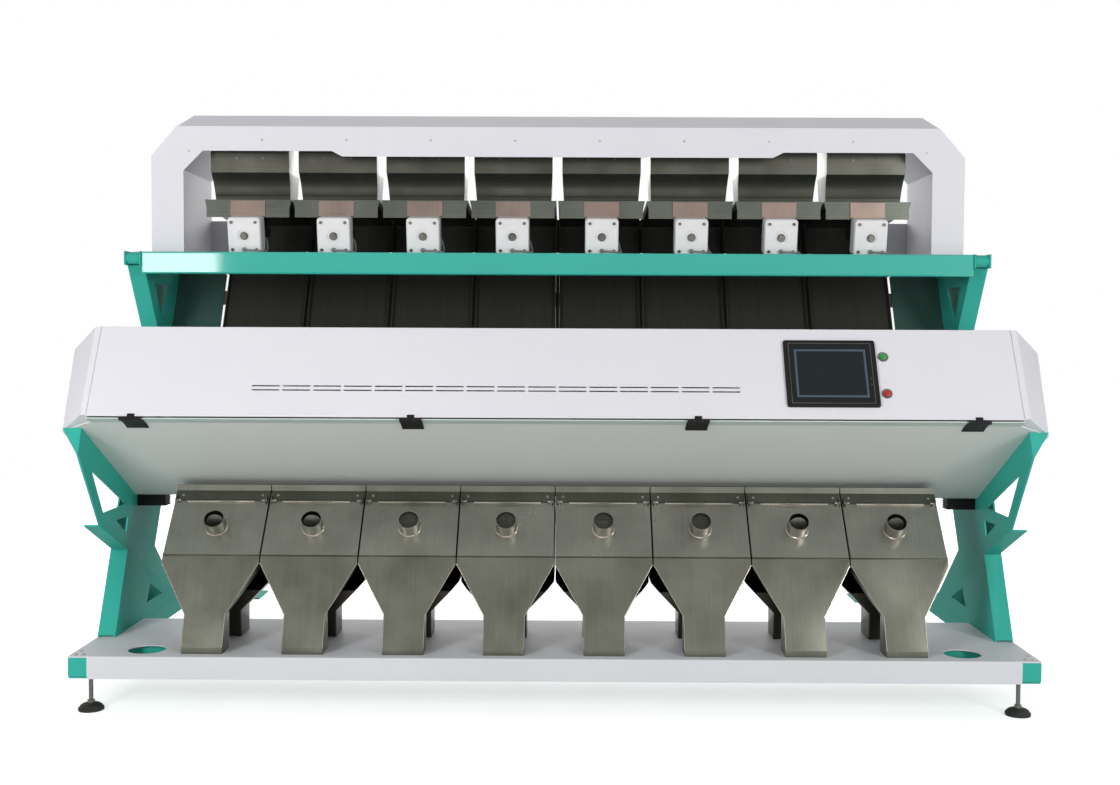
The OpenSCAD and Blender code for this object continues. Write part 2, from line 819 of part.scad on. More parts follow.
// Rail and brackets that carry the vibrators and the tray springs
rail_h = frame_top_h - 2 - rail_w;
arm_top_h = rail_h + rail_w + bracket_rise;
function vib_back(z) = let (d = vib_d + hairline)
  [vib_y + d * cos(vib_lean) - z * sin(vib_lean),
   frame_top_h + vib_mid_h + d * sin(vib_lean) + z * cos(vib_lean)];
module feeder_rail() {
  far = rail_y + bracket_reach;
  color(dark) on_deck() {
    cross_tube(frame_in, rail_y, rail_h, rail_w, rail_w);
    each_lane() along_x(-bracket_w / 2, bracket_w / 2)
      polygon([[rail_y, rail_h + rail_w], [rail_y + rail_w, rail_h + rail_w],
               [rail_y + rail_w, arm_top_h - bracket_t], [far, arm_top_h - bracket_t], [far, arm_top_h],
               [rail_y, arm_top_h], vib_back(vib_h / 6), vib_back(-vib_h / 4)]);
  }
}

// Puts its children in the sloping frame of a tray: origin at its front rim, y along it
module on_tray() {
  translate([0, tray_y, rim_h]) rotate([-tray_slope, 0, 0]) children();
}

// Leaf springs from the bracket arm to the underside of the tray floor
module tray_springs() {
  leaf_t = 4;
  leaf_w = bracket_w - 10;
  lean = 22;
  first = rail_y + 6;
  color(black) on_deck() each_lane() for (y = [first, first + spring_gap]) difference() {
    along_x(-leaf_w / 2, leaf_w / 2)
      polygon([[y, arm_top_h], [y + leaf_t, arm_top_h], [y + leaf_t + lean, rim_h], [y + lean, rim_h]]);
    on_tray() translate([-tray_w, -tray_len, -tray_wall_h - clear])
      cube([2 * tray_w, 3 * tray_len, tray_len]);
  }
}

// Flared trough with an apron in front, open toward the chute
module tray(i) {
  low = tray_w / 2 - tray_flare;
  color(steel) on_deck() translate([lane_x(i), 0, 0]) on_tray() {
    difference() {
      along_y(0, tray_len) polygon([[-low, -tray_wall_h], [low, -tray_wall_h], [tray_w / 2, 0],
                                    [-tray_w / 2, 0]]);
      along_y(sheet_t, tray_len + e)
        polygon([[sheet_t - low, sheet_t - tray_wall_h], [low - sheet_t, sheet_t - tray_wall_h],
                 [tray_w / 2 - sheet_t, e], [sheet_t - tray_w / 2, e]]);
    }
    along_y(0, sheet_t) polygon([[-low, -tray_front_h], [low, -tray_front_h], [low, -tray_wall_h],
                                 [-low, -tray_wall_h]]);
  }
}

// One lead from the gland at the foot of a cover, looping right and back to the side of its bracket
bracket_side = bracket_w / 2;
lead_end_y = rail_y - vib_y - 2;
lead_route = [[0, 1, 11], [2, -8, 10], [14, -15, 9], [34, -18, 8], [54, -14, 6], [vib_w / 2 + 8, 0, 5],
              [vib_w / 2 + 12, 22, 6], [vib_w / 2 + 11, 50, 11], [vib_w / 2 + 8, 70, 24],
              [vib_w / 2 + 3, lead_end_y - 2, 46], [bracket_side + 15, lead_end_y, 66],
              [bracket_side + 8, lead_end_y, 72], [bracket_side, lead_end_y, 72]];
lead_sides = 8;
function ring(p, d) = let (
    t = d / norm(d),
    a = abs(t[2]) < 0.9 ? cross(t, [0, 0, 1]) : cross(t, [0, 1, 0]),
    u = a / norm(a),
    v = cross(t, u)
  ) [for (k = [0 : lead_sides - 1]) p + lead_d / 2 * (cos(360 * k / lead_sides) * u
                                                     + sin(360 * k / lead_sides) * v)];

module vibrator_leads() {
  n = len(lead_route);
  rings = [for (i = [0 : n - 1])
    ring(lead_route[i], lead_route[min(i + 1, n - 1)] - lead_route[max(i - 1, 0)])];
  points = [for (r = rings) each r];
  s = lead_sides;
  walls = [for (i = [0 : n - 2], k = [0 : s - 1], half = [0, 1])
    let (a = i * s + k, b = i * s + (k + 1) % s) half == 0 ? [a, b + s, b] : [a, a + s, b + s]];
  first = [for (k = [0 : s - 1]) k];
  last = [for (k = [s - 1 : -1 : 0]) (n - 1) * s + k];
  gland_h = 8;
  color("#55585a") on_deck() each_lane() {
    translate([0, vib_y, frame_top_h]) polyhedron(points, concat(walls, [first], [last]));
    on_vibrator() translate([0, -cover_t, -gland_drop]) rotate([90, 0, 0]) cylinder(d = gland_d, h = gland_h);
  }
}

// Puts its children in the sloping frame of the chutes: z up the slope, face at y = 0
module on_chute() {
  translate([0, chute_y, top_h]) rotate([chute_angle - 90, 0, 0]) children();
}

// Chutes with their side rails, and a cover strip in each gap between them
module chutes() {
  low = chute_s(chute_low_h);
  long = chute_s(chute_top_h) - low;
  strip_w = pitch - chute_w - 2 * clear;
  color(dark) on_deck() {
    each_lane() on_chute() {
      translate([-chute_w / 2, 0, low]) cube([chute_w, chute_t, long]);
      for (x = [-chute_w / 2, chute_w / 2 - chute_t])
        translate([x, -chute_rail_h, low]) cube([chute_t, chute_rail_h, long]);
    }
    for (i = [1 : lanes - 1])
      on_chute() translate([lane_x(i) + pitch / 2 - strip_w / 2, 0, low]) cube([strip_w, chute_t, long]);
  }
}

module chute_bars() {
  color("#6b6f70") on_deck() on_chute() for (s = [chute_s(bar_low_h), chute_s(bar_top_h)])
    cross_tube(frame_in, chute_t, s, bar_w, bar_w);
}

module chute_side_panels() {
  low = chute_s(chute_low_h + 60);
  high = chute_s(frame_top_h - 12);
  inner = lane_half + 6;
  color(white) on_deck() both_sides() on_chute()
    translate([inner, 0, low]) cube([frame_in - inner, chute_t, high - low]);
}

// Side outline of the front box behind its door
module box_outline(front) {
  polygon([[crease_y + front, crease_h], [top_y + front, top_h], [top_back_y, top_h], [low_y, low_h],
           [under_y, under_h]]);
}

// Leaning frame of the box's rear wall: z up the wall, y outward to the rear
module on_back_wall() {
  translate([0, low_y, low_h]) rotate([-back_lean, 0, 0]) children();
}

slot_s = 150;
slot_half = lane_half;
module box_shell() {
  front = (door_t + clear) / cos(door_lean);
  past_y = crease_y - box_half;
  past_h = low_h - crease_h;
  wall = box_t / cos(back_lean);
  color(white) on_deck() difference() {
    along_x(-box_half, box_half) box_outline(front);
    along_x(-box_half + box_t, box_half - box_t)
      polygon([[past_y, top_h - box_t], [top_back_y - wall, top_h - box_t], [low_y - wall, low_h],
               [low_y - wall, past_h], [past_y, past_h]]);
    on_back_wall() translate([-slot_half, -box_t * 4, slot_s]) cube([2 * slot_half, box_t * 8, slot_len]);
  }
}

// Sloping grey floor of the front box, cut back at its front corners like the end caps
module box_underside() {
  corner = box_half - e * cap_w / cap_in;
  color(grey) on_deck() intersection() {
    along_x(-cap_half, cap_half)
      polygon([[under_y, under_h], [low_y, low_h], [low_y, low_h - under_drop],
               [under_y, under_h - under_drop]]);
    linear_extrude(top_h)
      polygon([[-corner, under_y - e], [corner, under_y - e], [cap_half + e, under_y + cap_in],
               [cap_half + e, low_y + e], [-cap_half - e, low_y + e], [-cap_half - e, under_y + cap_in]]);
  }
}

// Bevelled solid of an end cap, its outline pulled in by w
module cap_form(w) {
  x0 = w > 0 ? box_half - e : box_half;
  nose = under_at(crease_y) - crease_h + clear;
  hull() {
    along_x(x0, box_half + cap_lip) polygon([
      [crease_y + nose * tan(door_lean) + w * 1.3, crease_h + nose + w], [top_y + w, top_h - w],
      [top_back_y - w * 1.5, top_h - w], [low_y - w, low_h + clear + w * 1.8]]);
    along_x(cap_half - w - 0.1, cap_half - w) polygon([
      [under_y + cap_in + w, under_at(under_y + cap_in) + clear + w],
      [top_y + cap_in + w, top_h - cap_drop - w],
      [back_at(top_h - cap_drop) - w * 1.5, top_h - cap_drop - w], [low_y - w, low_h + clear + w * 1.8]]);
  }
}

module end_caps() {
  color(white) on_deck() both_sides() difference() {
    cap_form(0);
    cap_form(box_t);
  }
}

// Narrow strip between the door and the underside
sill_y = crease_y + 1;
sill_lip = 2;
function sill_at(y) = crease_h - sill_lip - (y - sill_y) * (sill_fall - sill_lip) / (under_y - sill_y);
module door_sill() {
  color("#9ba8a2") on_deck() along_x(-box_half, box_half)
    polygon([[under_y, under_h], [under_y, under_h - under_drop],
             [sill_y, sill_at(sill_y) - under_drop], [sill_y, sill_at(sill_y)]]);
}

// Places of the four door hinges
module each_hinge() {
  for (x = [-hinge_out_x, -hinge_in_x, hinge_in_x, hinge_out_x])
    translate([x, knuckle_y, knuckle_h]) rotate([0, 90, 0]) children();
}

knuckle_w = hinge_w / 3 - 1;
module knuckle(x) {
  translate([0, 0, x]) difference() {
    cylinder(d = knuckle_d, h = knuckle_w, center = true);
    cylinder(d = pin_d + 2 * clear, h = knuckle_w + 2 * e, center = true);
  }
}

// Fixed halves of the hinges, flat on the sill and the underside
module hinge_bases() {
  leaf_t = 3;
  drop = under_drop + clear / 2;
  wide_y = sill_y + 9;
  far = under_y + hinge_under;
  color(black) on_deck() for (x = [-hinge_out_x, -hinge_in_x, hinge_in_x, hinge_out_x])
    difference() {
      union() {
        translate([x, knuckle_y, knuckle_h]) rotate([0, 90, 0]) {
          knuckle(-knuckle_w - 1);
          knuckle(knuckle_w + 1);
        }
        for (s = [-1, 1])
          along_x(x + s * (knuckle_w + 1) - knuckle_w / 2, x + s * (knuckle_w + 1) + knuckle_w / 2)
            polygon([[knuckle_y + knuckle_d / 4, knuckle_h - knuckle_d / 4], [sill_y, sill_at(sill_y) - drop],
                     [under_y, under_h - drop], [under_y, under_h - drop - leaf_t],
                     [sill_y, sill_at(sill_y) - drop - leaf_t],
                     [knuckle_y + knuckle_d / 4, knuckle_h - 5.5]]);
        along_x(x - hinge_w / 2, x + hinge_w / 2)
          polygon([[wide_y, sill_at(wide_y) - drop], [under_y, under_h - drop], [far, under_at(far) - drop],
                   [far, under_at(far) - drop - leaf_t], [under_y, under_h - drop - leaf_t],
                   [wide_y, sill_at(wide_y) - drop - leaf_t]]);
      }
      translate([x, knuckle_y, knuckle_h]) rotate([0, 90, 0])
        cylinder(d = pin_d + 2 * clear, h = hinge_w + 2 * e, center = true);
    }
}

module hinge_pins() {
  color(zinc) on_deck() each_hinge() cylinder(d = pin_d, h = hinge_w, center = true);
}

// Puts its children on the door: z up it from the crease, y into the box
module on_door() {
  translate([0, crease_y, crease_h]) rotate([-door_lean, 0, 0]) children();
}

// Moving halves of the hinges, flat on the foot of the door
module hinge_leaves() {
  leaf_t = 2.5;
  below = 4;
  color(black) on_deck() for (x = [-hinge_out_x, -hinge_in_x, hinge_in_x, hinge_out_x]) {
    difference() {
      union() {
        translate([x, knuckle_y, knuckle_h]) rotate([0, 90, 0]) knuckle(0);
        on_door() translate([x - knuckle_w / 2, -leaf_t, -below])
          cube([knuckle_w, leaf_t, below + door_gap + hinge_up]);
      }
      translate([x, knuckle_y, knuckle_h]) rotate([0, 90, 0])
        cylinder(d = pin_d + 2 * clear, h = hinge_w, center = true);
    }
  }
}

module front_door() {
  half = box_half - door_gap;
  rim_in = 26;
  foot = door_gap + 8;
  color(white) on_deck() on_door() difference() {
    union() {
      translate([-half, 0, door_gap]) cube([2 * half, door_t, door_len - door_gap]);
      difference() {
        translate([-half + rim_in, door_t, foot]) cube([2 * (half - rim_in), door_rim, door_len - foot - 12]);
        translate([-half + rim_in + door_t, 0, foot + door_t])
          cube([2 * (half - rim_in - door_t), door_rim * 2, door_len - foot - 12 - 2 * door_t]);
      }
    }
    for (i = [0 : vent_count - 1], r = [0, 1])
      translate([(i - (vent_count - 1) / 2) * vent_pitch - vent_x - vent_len / 2, -e, vent_low + r * vent_gap])
        cube([vent_len, door_t + 2 * e, vent_h]);
    translate([screen_x - glass_w / 2 - 12 - clear, -e, door_len / 2 - glass_h / 2 - 12 - clear])
      cube([glass_w + 24 + 2 * clear, door_t + 2 * e, glass_h + 24 + 2 * clear]);
    for (h = [start_h, stop_h]) translate([button_x, -e, h]) rotate([-90, 0, 0])
      cylinder(d = button_d - 4, h = door_t + 2 * e);
  }
}

// Screen housing: a frame in front of the door and a box behind it
module screen_frame() {
  glass_deep = 3;
  color(black) on_deck() on_door() translate([screen_x, 0, door_len / 2]) difference() {
    union() {
      rotate([90, 0, 0]) linear_extrude(screen_t) round_rect(screen_w, screen_h, 8);
      translate([-glass_w / 2 - 12, 0, -glass_h / 2 - 12]) cube([glass_w + 24, screen_back, glass_h + 24]);
    }
    translate([-glass_w / 2, -screen_t - e, -glass_h / 2]) cube([glass_w, glass_deep + e, glass_h]);
  }
}

module screen_glass() {
  color("#262d30") on_deck() on_door() translate([screen_x, 0, door_len / 2])
    translate([-glass_w / 2 + clear, -screen_t + 1, -glass_h / 2 + clear])
      cube([glass_w - 2 * clear, 2, glass_h - 2 * clear]);
}

// Rings round the buttons and their contact blocks behind the door
bezel_t = 3;
module button_bezels() {
  ring_w = 5;
  color(zinc) on_deck() on_door() for (h = [start_h, stop_h])
    translate([button_x, 0, h]) rotate([90, 0, 0]) {
      difference() {
        cylinder(d = button_d + 2 * ring_w, h = bezel_t);
        translate([0, 0, -e]) cylinder(d = button_d + 2 * clear, h = bezel_t + 2 * e);
      }
      translate([0, 0, -30]) difference() {
        cylinder(d = button_d + 2 * ring_w, h = 30 - door_t);
        translate([0, 0, 30 - door_t - 10]) cylinder(d = button_d - 4, h = 12);
      }
    }
}

// A button cap on its stem, free to travel into the contact block
module button(h) {
  on_deck() on_door() translate([button_x, 0, h]) rotate([90, 0, 0]) {
    translate([0, 0, button_travel + clear]) cylinder(d = button_d, h = 5);
    translate([0, 0, -7]) cylinder(d = button_d - 6, h = 7 + button_travel + clear);
  }
}

module start_button() {
  color("#1fa052") button(start_h);
}

module stop_button() {
  color("#d22b25") button(stop_h);
}

module viewing_glass() {
  color("#9fc0c4") on_deck() {
    on_back_wall() translate([-slot_half - 12, clear / 10, slot_s - 12])
      cube([2 * slot_half + 24, view_t, slot_len + 24]);
    on_rear_wall() translate([-slot_half - 12, -view_t - clear / 10, slot_s - 62])
      cube([2 * slot_half + 24, view_t, slot_len + 24]);
  }
}

// Rear box: its front wall follows the chutes at a distance
rear_gap = 62;
rear_top_h = rear_low_h + rear_box_h;
function rear_at(h) = chute_at(h) + rear_gap / sin(chute_angle);
module rear_outline(w) {
  low = rear_low_h + w;
  top = rear_top_h - w;
  polygon([[rear_at(low) + w * 1.2, low], [rear_at(top) + w * 1.2, top],
           [rear_box_y - w, rear_top_h - w], [rear_box_y - w, rear_low_h + 120 + w * 0.4],
           [rear_box_y - 140 - w * 0.4, rear_low_h + w]]);
}

module on_rear_wall() {
  translate([0, rear_at(rear_low_h), rear_low_h]) rotate([chute_angle - 90, 0, 0]) children();
}

module rear_box() {
  color(white) on_deck() difference() {
    along_x(-frame_in, frame_in) rear_outline(0);
    along_x(-frame_in + box_t, frame_in - box_t) rear_outline(box_t);
    on_rear_wall() translate([-slot_half, -box_t * 3, slot_s - 50])
      cube([2 * slot_half, box_t * 6, slot_len]);
  }
}

// Lamp tubes across both boxes, held between the end walls
front_lamp = [430, 690];
rear_lamp = [920, 690];
module lamps() {
  color("#f4f4ee") on_deck() {
    translate([-box_half + box_t, front_lamp[0], front_lamp[1]]) rotate([0, 90, 0])
      cylinder(d = lamp_d, h = 2 * (box_half - box_t));
    translate([-frame_in + box_t, rear_lamp[0], rear_lamp[1]]) rotate([0, 90, 0])
      cylinder(d = lamp_d, h = 2 * (frame_in - box_t));
  }
}

module camera() {
  translate([-camera_w / 2, 0, 0]) cube([camera_w, camera_w * 1.4, camera_w]);
}

module lens(out) {
  translate([0, out > 0 ? camera_w * 1.4 : 0, camera_w / 2]) rotate([-90 * out, 0, 0])
    cylinder(d = camera_w * 0.7, h = camera_w * 0.6);
}

// Square rails across the machine: one for each row of cameras and one for the air valves
camera_rail = 40;
front_rail = [200, 750];
rear_rail = [1120, 740];
module inner_rails() {
  color("#8f969a") on_deck() {
    cross_tube(box_half - box_t, front_rail[0], front_rail[1], camera_rail, camera_rail);
    cross_tube(frame_in - box_t, rear_rail[0], rear_rail[1], camera_rail, camera_rail);
    cross_tube(frame_in, valve_y, valve_h, valve_w, valve_w);
  }
}

// Cameras on their rails in each box, looking at the gap below the chutes
module cameras() {
  color("#5a5f63") on_deck() each_lane() {
    translate([0, front_rail[0] - 10, front_rail[1] + camera_rail]) {
      camera();
      lens(1);
    }
    translate([0, rear_rail[0] - 30, rear_rail[1] + camera_rail]) {
      camera();
      lens(-1);
    }
  }
}

// One valve block and its nozzle strip per lane, on the rear of the valve rail
module valve_blocks() {
  block_w = 290;
  block_d = 22;
  color("#8f969a") on_deck() each_lane() translate([-block_w / 2, valve_y + valve_w, valve_h]) {
    translate([0, 0, 6]) cube([block_w, block_d, valve_w - 12]);
    translate([0, block_d, 16]) cube([block_w, 8, 12]);
  }
}

// Ribbed air distribution block on the inside of each side frame, below the valve rail
module air_blocks() {
  ribs = 6;
  rib_t = 3;
  step = (air_h - rib_t) / (ribs - 1);
  y = valve_y - air_d / 2;
  h = valve_h - 2 * air_h;
  color(black) on_deck() both_sides() translate([frame_in - air_w, y, h]) {
    translate([rib_t, rib_t, 0]) cube([air_w - rib_t, air_d - 2 * rib_t, air_h]);
    for (i = [0 : ribs - 1]) translate([0, 0, i * step]) cube([air_w, air_d, rib_t]);
  }
}

// Sloping wall where the front and rear hoppers meet
bin_low_h = neck_top_h + 20;
function split_at(h) = split_y - split_lean * (hopper_h - h) / (hopper_h - bin_low_h);

// Side outline of the front hopper, its walls moved in by w
module front_hopper_side(w, over) {
  dip_h = low_h - 17;
  dip_y = under_y + (under_h - under_drop - 8 - hopper_h) / tan(under_fall);
  polygon([
    [spout_y + w, -spout_drop - over], [spout_y + w, 20], [hopper_nose_y + w, hopper_nose_h],
    [hopper_y + w, hopper_h], [hopper_y + w, hopper_h + over], [dip_y, hopper_h + over],
    [low_y + 4, dip_h + over], [split_at(dip_h) - w, dip_h + over], [split_at(dip_h) - w, dip_h],
    [split_at(bin_low_h) - w, bin_low_h], [spout_y + spout_d - w, neck_low_h],
    [spout_y + spout_d - w, -spout_drop - over]
  ]);
}

module rear_hopper_side(w, over) {
  join = clear;
  polygon([
    [rear_spout_y + w, -spout_drop - over], [rear_spout_y + w, neck_low_h + 40],
    [split_at(bin_low_h) + join + w, bin_low_h], [split_y + join + w, hopper_h],
    [split_y + join + w, hopper_h + over], [hopper_back_y - w, hopper_h + over],
    [hopper_back_y - w, bin_low_h + 60],
    [rear_spout_y + rear_spout_d - w, neck_low_h], [rear_spout_y + rear_spout_d - w, -spout_drop - over]
  ]);
}

// Front outline of a hopper, narrowing from the bin to the spout
module hopper_front(w, over, low, top) {
  half = hopper_w / 2 - w;
  foot = spout_w / 2 - w;
  polygon([[-foot, -spout_drop - over], [foot, -spout_drop - over], [foot, low], [half, top],
           [half, hopper_h + over], [-half, hopper_h + over], [-half, top], [-foot, low]]);
}

// Puts its children on the sloping hopper front: y down the slope from its top, z outward
module on_lid_slope() {
  translate([0, hopper_y, hopper_h]) rotate([180 + lid_fall, 0, 0]) mirror([0, 0, 1]) children();
}

band_end = lid_start - 8;
band_t = 2;
pivot_s = lid_start;
pivot_n = band_t + 8;
ear_w = 5;
ear_r = 6;
ear_x = hopper_w / 2 - 4;
module front_hoppers() {
  window = 25;
  color(steel) on_deck() each_lane() difference() {
    union() {
      difference() {
        intersection() {
          along_x(-hopper_w, hopper_w) front_hopper_side(0, 0);
          along_y(0, split_y + e) hopper_front(0, 0, neck_low_h, neck_top_h);
        }
        intersection() {
          along_x(-hopper_w, hopper_w) front_hopper_side(sheet_t, e);
          along_y(0, split_y + e) hopper_front(sheet_t, e, neck_low_h, neck_top_h);
        }
        on_lid_slope() translate([-hopper_w / 2 + window, lid_start + window, -sheet_t * 3])
          cube([hopper_w - 2 * window, lid_slope_len - lid_start - 2 * window, sheet_t * 6]);
      }
      translate([-hopper_w / 2, hopper_y, hopper_h - e]) cube([hopper_w, sheet_t, hopper_lip + e]);
      on_lid_slope() {
        translate([-hopper_w / 2, 4, -e]) cube([hopper_w, band_end - 4, band_t + e]);
        for (x = [-ear_x, ear_x - ear_w]) {
          translate([x, band_end - 12, band_t - e]) cube([ear_w, 12, pivot_n + ear_r - band_t + e]);
          translate([x, band_end - e, pivot_n - ear_r]) cube([ear_w, pivot_s - band_end + e, 2 * ear_r]);
          translate([x, pivot_s, pivot_n]) rotate([0, 90, 0]) cylinder(r = ear_r, h = ear_w);
        }
      }
    }
    on_lid_slope() translate([0, pivot_s, pivot_n]) rotate([0, 90, 0])
      cylinder(d = bolt_d + clear, h = hopper_w, center = true);
  }
}

module rear_hoppers() {
  color(steel) on_deck() each_lane() difference() {
    intersection() {
      along_x(-hopper_w, hopper_w) rear_hopper_side(0, 0);
      along_y(0, hopper_back_y + e) hopper_front(0, 0, rear_neck_low_h, rear_neck_top_h);
    }
    intersection() {
      along_x(-hopper_w, hopper_w) rear_hopper_side(sheet_t, e);
      along_y(0, hopper_back_y + e) hopper_front(sheet_t, e, rear_neck_low_h, rear_neck_top_h);
    }
  }
}

// Bolts on which the lids swing, one at each upper corner
bolt_len = 22;
module pivot_bolts() {
  color(zinc) on_deck() each_lane() on_lid_slope() translate([0, pivot_s, pivot_n]) both_sides() {
    translate([ear_x - bolt_len + 4, 0, 0]) rotate([0, 90, 0]) cylinder(d = bolt_d, h = bolt_len - 4);
  }
}

// Hinged lid with its dust pipe, handle strip and two pivot ears
module lid(i) {
  long = lid_slope_len - lid_start - 2;
  lift = clear;
  lug = ear_x - ear_w - 1 - ear_w;
  color(steel) on_deck() translate([lane_x(i), 0, 0]) on_lid_slope() difference() {
    union() {
      translate([-hopper_w / 2 + 1, lid_start, lift]) cube([hopper_w - 2, long, lid_t]);
      translate([-grip_len / 2, lid_start + 4, lift + lid_t - e]) cube([grip_len, 3, 12 + e]);
      translate([-hopper_w / 2 + 1, lid_start + long - 3, lift + lid_t - e]) cube([hopper_w - 2, 3, 5 + e]);
      for (x = [-lug - ear_w, lug])
        translate([x, lid_start, lift + lid_t - e]) cube([ear_w, 8, pivot_n + 6 - lift - lid_t + e]);
      translate([0, stub_s, lift]) cylinder(d = stub_d, h = stub_len);
    }
    translate([0, stub_s, lift - e]) cylinder(d = stub_d - 2 * stub_t, h = stub_len + 2 * e);
    translate([0, pivot_s, pivot_n]) rotate([0, 90, 0])
      cylinder(d = bolt_d + 2 * clear, h = hopper_w, center = true);
  }
}

module tray_1() { tray(1); }
module tray_2() { tray(2); }
module tray_3() { tray(3); }
module tray_4() { tray(4); }
module tray_5() { tray(5); }
module tray_6() { tray(6); }
module tray_7() { tray(7); }
module tray_8() { tray(8); }
module lid_1() { lid(1); }
module lid_2() { lid(2); }
module lid_3() { lid(3); }
module lid_4() { lid(4); }
module lid_5() { lid(5); }
module lid_6() { lid(6); }
module lid_7() { lid(7); }
module lid_8() { lid(8); }

base_frame();
platform_plate();
side_frame_left();
side_frame_right();
cross_beam();
foot_pads();
foot_studs();
hood_shell();
hood_fascia();
feed_hoppers();
gate_plates();
feeder_rail();
vibrator_cases();
vibrator_covers();
vibrator_nuts();
feeder_screws();
vibrator_leads();
tray_springs();
chutes();
chute_bars();
chute_side_panels();
box_shell();
box_underside();
end_caps();
door_sill();
hinge_bases();
hinge_pins();
air_blocks();
viewing_glass();
lamps();
inner_rails();
cameras();
rear_box();
valve_blocks();
front_hoppers();
rear_hoppers();
pivot_bolts();
front_door();
hinge_leaves();
screen_frame();
screen_glass();
button_bezels();
start_button();
stop_button();
tray_1();
tray_2();
tray_3();
tray_4();
tray_5();
tray_6();
tray_7();
tray_8();
lid_1();
lid_2();
lid_3();
lid_4();
lid_5();
lid_6();
lid_7();
lid_8();
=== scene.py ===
# %% [markdown]
# # Dressing an eight-lane optical colour sorter
# The frame holds every sheet, tube and bolt of the machine at its real size. This lesson gives
# those pieces the finish that a workshop gives them: powder coat, brushed stainless, cast enamel,
# rubber and glass. It also adds the small parts that only the eye needs, such as screw heads, weld
# beads and the wire screens in the dust pipes.

# %% Load the frame
import json
import math

import bmesh
import bpy
from mathutils import Matrix, Vector


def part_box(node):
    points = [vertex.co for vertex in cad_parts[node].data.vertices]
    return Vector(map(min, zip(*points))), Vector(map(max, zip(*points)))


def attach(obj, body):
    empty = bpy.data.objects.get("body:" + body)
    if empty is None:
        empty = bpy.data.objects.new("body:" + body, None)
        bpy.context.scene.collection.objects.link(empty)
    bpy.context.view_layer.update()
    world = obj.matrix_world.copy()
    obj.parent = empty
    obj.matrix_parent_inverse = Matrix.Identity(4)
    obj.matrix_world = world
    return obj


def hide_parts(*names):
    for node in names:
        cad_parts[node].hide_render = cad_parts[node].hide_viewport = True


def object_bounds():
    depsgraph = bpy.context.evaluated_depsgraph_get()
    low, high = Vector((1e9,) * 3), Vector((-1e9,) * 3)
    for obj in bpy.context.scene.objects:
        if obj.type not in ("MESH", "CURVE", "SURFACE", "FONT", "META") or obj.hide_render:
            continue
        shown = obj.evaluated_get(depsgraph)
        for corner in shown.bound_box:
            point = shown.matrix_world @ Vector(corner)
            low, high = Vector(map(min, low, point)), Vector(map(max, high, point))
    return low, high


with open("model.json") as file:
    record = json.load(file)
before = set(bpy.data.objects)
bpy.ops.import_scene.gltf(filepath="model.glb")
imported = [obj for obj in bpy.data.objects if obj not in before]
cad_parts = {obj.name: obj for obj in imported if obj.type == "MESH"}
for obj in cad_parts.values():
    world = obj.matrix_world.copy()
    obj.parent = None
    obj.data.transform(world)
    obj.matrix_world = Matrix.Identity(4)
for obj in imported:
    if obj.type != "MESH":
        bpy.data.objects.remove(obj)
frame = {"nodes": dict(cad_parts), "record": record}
cad_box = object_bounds()
nodes = frame["nodes"]
record = frame["record"]
members_of_body = record["behaviour"]["bodies"]
body_of_node = {node: body for body, members in members_of_body.items() for node in members}

# %% [markdown]
# ## Measures
# Sheet metal is drawn in millimetres and Blender works in metres, so one short function turns one
# into the other. Below, sizes on the machine are in millimetres and places in the studio are in
# metres. Places on the machine come from the frame itself: the deck is the top of the platform,
# and the lanes are where the lids are. If the machine is rebuilt with another lane spacing, the
# pieces still land on it.

# %% Measures taken from the frame
LANES = range(1, 9)
MM_PER_METRE = 1000


def mm(size):
    """A workshop size in millimetres, as metres."""
    return size / MM_PER_METRE


def middle(node):
    """The middle of a node's box."""
    low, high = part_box(node)
    return (low + high) / 2


deck_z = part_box("platform_plate")[1].z
pitch = middle("lid_2").x - middle("lid_1").x
print(f"deck {deck_z:.3f} m above the floor, lanes {pitch:.3f} m apart")

# %% [markdown]
# ## Camera
# A product picture is taken from a little above the middle with an almost level camera, so that
# upright edges stay upright. The place, tilt and focal length were worked out from where corners
# of known size fall in the picture. The height is counted from the deck, so the view follows the
# machine if its feet are screwed out.

# %% Camera at the picture's viewing angle
CAMERA_X = 0.039
CAMERA_Y = -4.751
CAMERA_OVER_DECK = 1.013
CAMERA_TURN = 0.318
CAMERA_TILT = 2.443
CAMERA_ROLL = 0.247
LENS_MM = 42.28
SENSOR_MM = 36

lens = bpy.data.cameras.new("front_view")
lens.sensor_fit = "HORIZONTAL"
lens.sensor_width = SENSOR_MM
lens.lens = LENS_MM
camera = bpy.data.objects.new("front_view", lens)
bpy.context.scene.collection.objects.link(camera)
camera.matrix_world = (
    Matrix.Translation((CAMERA_X, CAMERA_Y, deck_z + CAMERA_OVER_DECK))
    @ Matrix.Rotation(math.radians(CAMERA_TURN), 4, "Z")
    @ Matrix.Rotation(math.radians(90 - CAMERA_TILT), 4, "X")
    @ Matrix.Rotation(math.radians(CAMERA_ROLL), 4, "Z")
)
bpy.context.scene.camera = camera
bpy.context.scene.view_settings.view_transform = "Standard"
print("camera:", round(lens.lens, 1), "mm lens")

# %% [markdown]
# ## Small helpers for materials
# Colours are easiest to read as the hex values that a paint chart or a picture gives, but shaders
# work in linear light, so one function converts them. A second one adds a node, sets its values and
# joins its inputs in one line, which keeps each finish short enough to read as a recipe. Two more
# start an empty material and turn a real size into a pattern's scale. A Mix node has several
# sockets of one name, so its sockets are picked by number, and the numbers get names.

# %% Colour and node helpers
MIX_SHARE = 0
MIX_VALUES = (2, 3)
MIX_DARK, MIX_LIGHT = 6, 7
MIX_COLOUR_OUT = 2


def linear(hex_colour):
    """A hex sRGB colour as linear light, with full alpha."""
    channels = [int(hex_colour[i : i + 2], 16) / 255 for i in (1, 3, 5)]
    return [c / 12.92 if c <= 0.04045 else ((c + 0.055) / 1.055) ** 2.4 for c in channels] + [1]


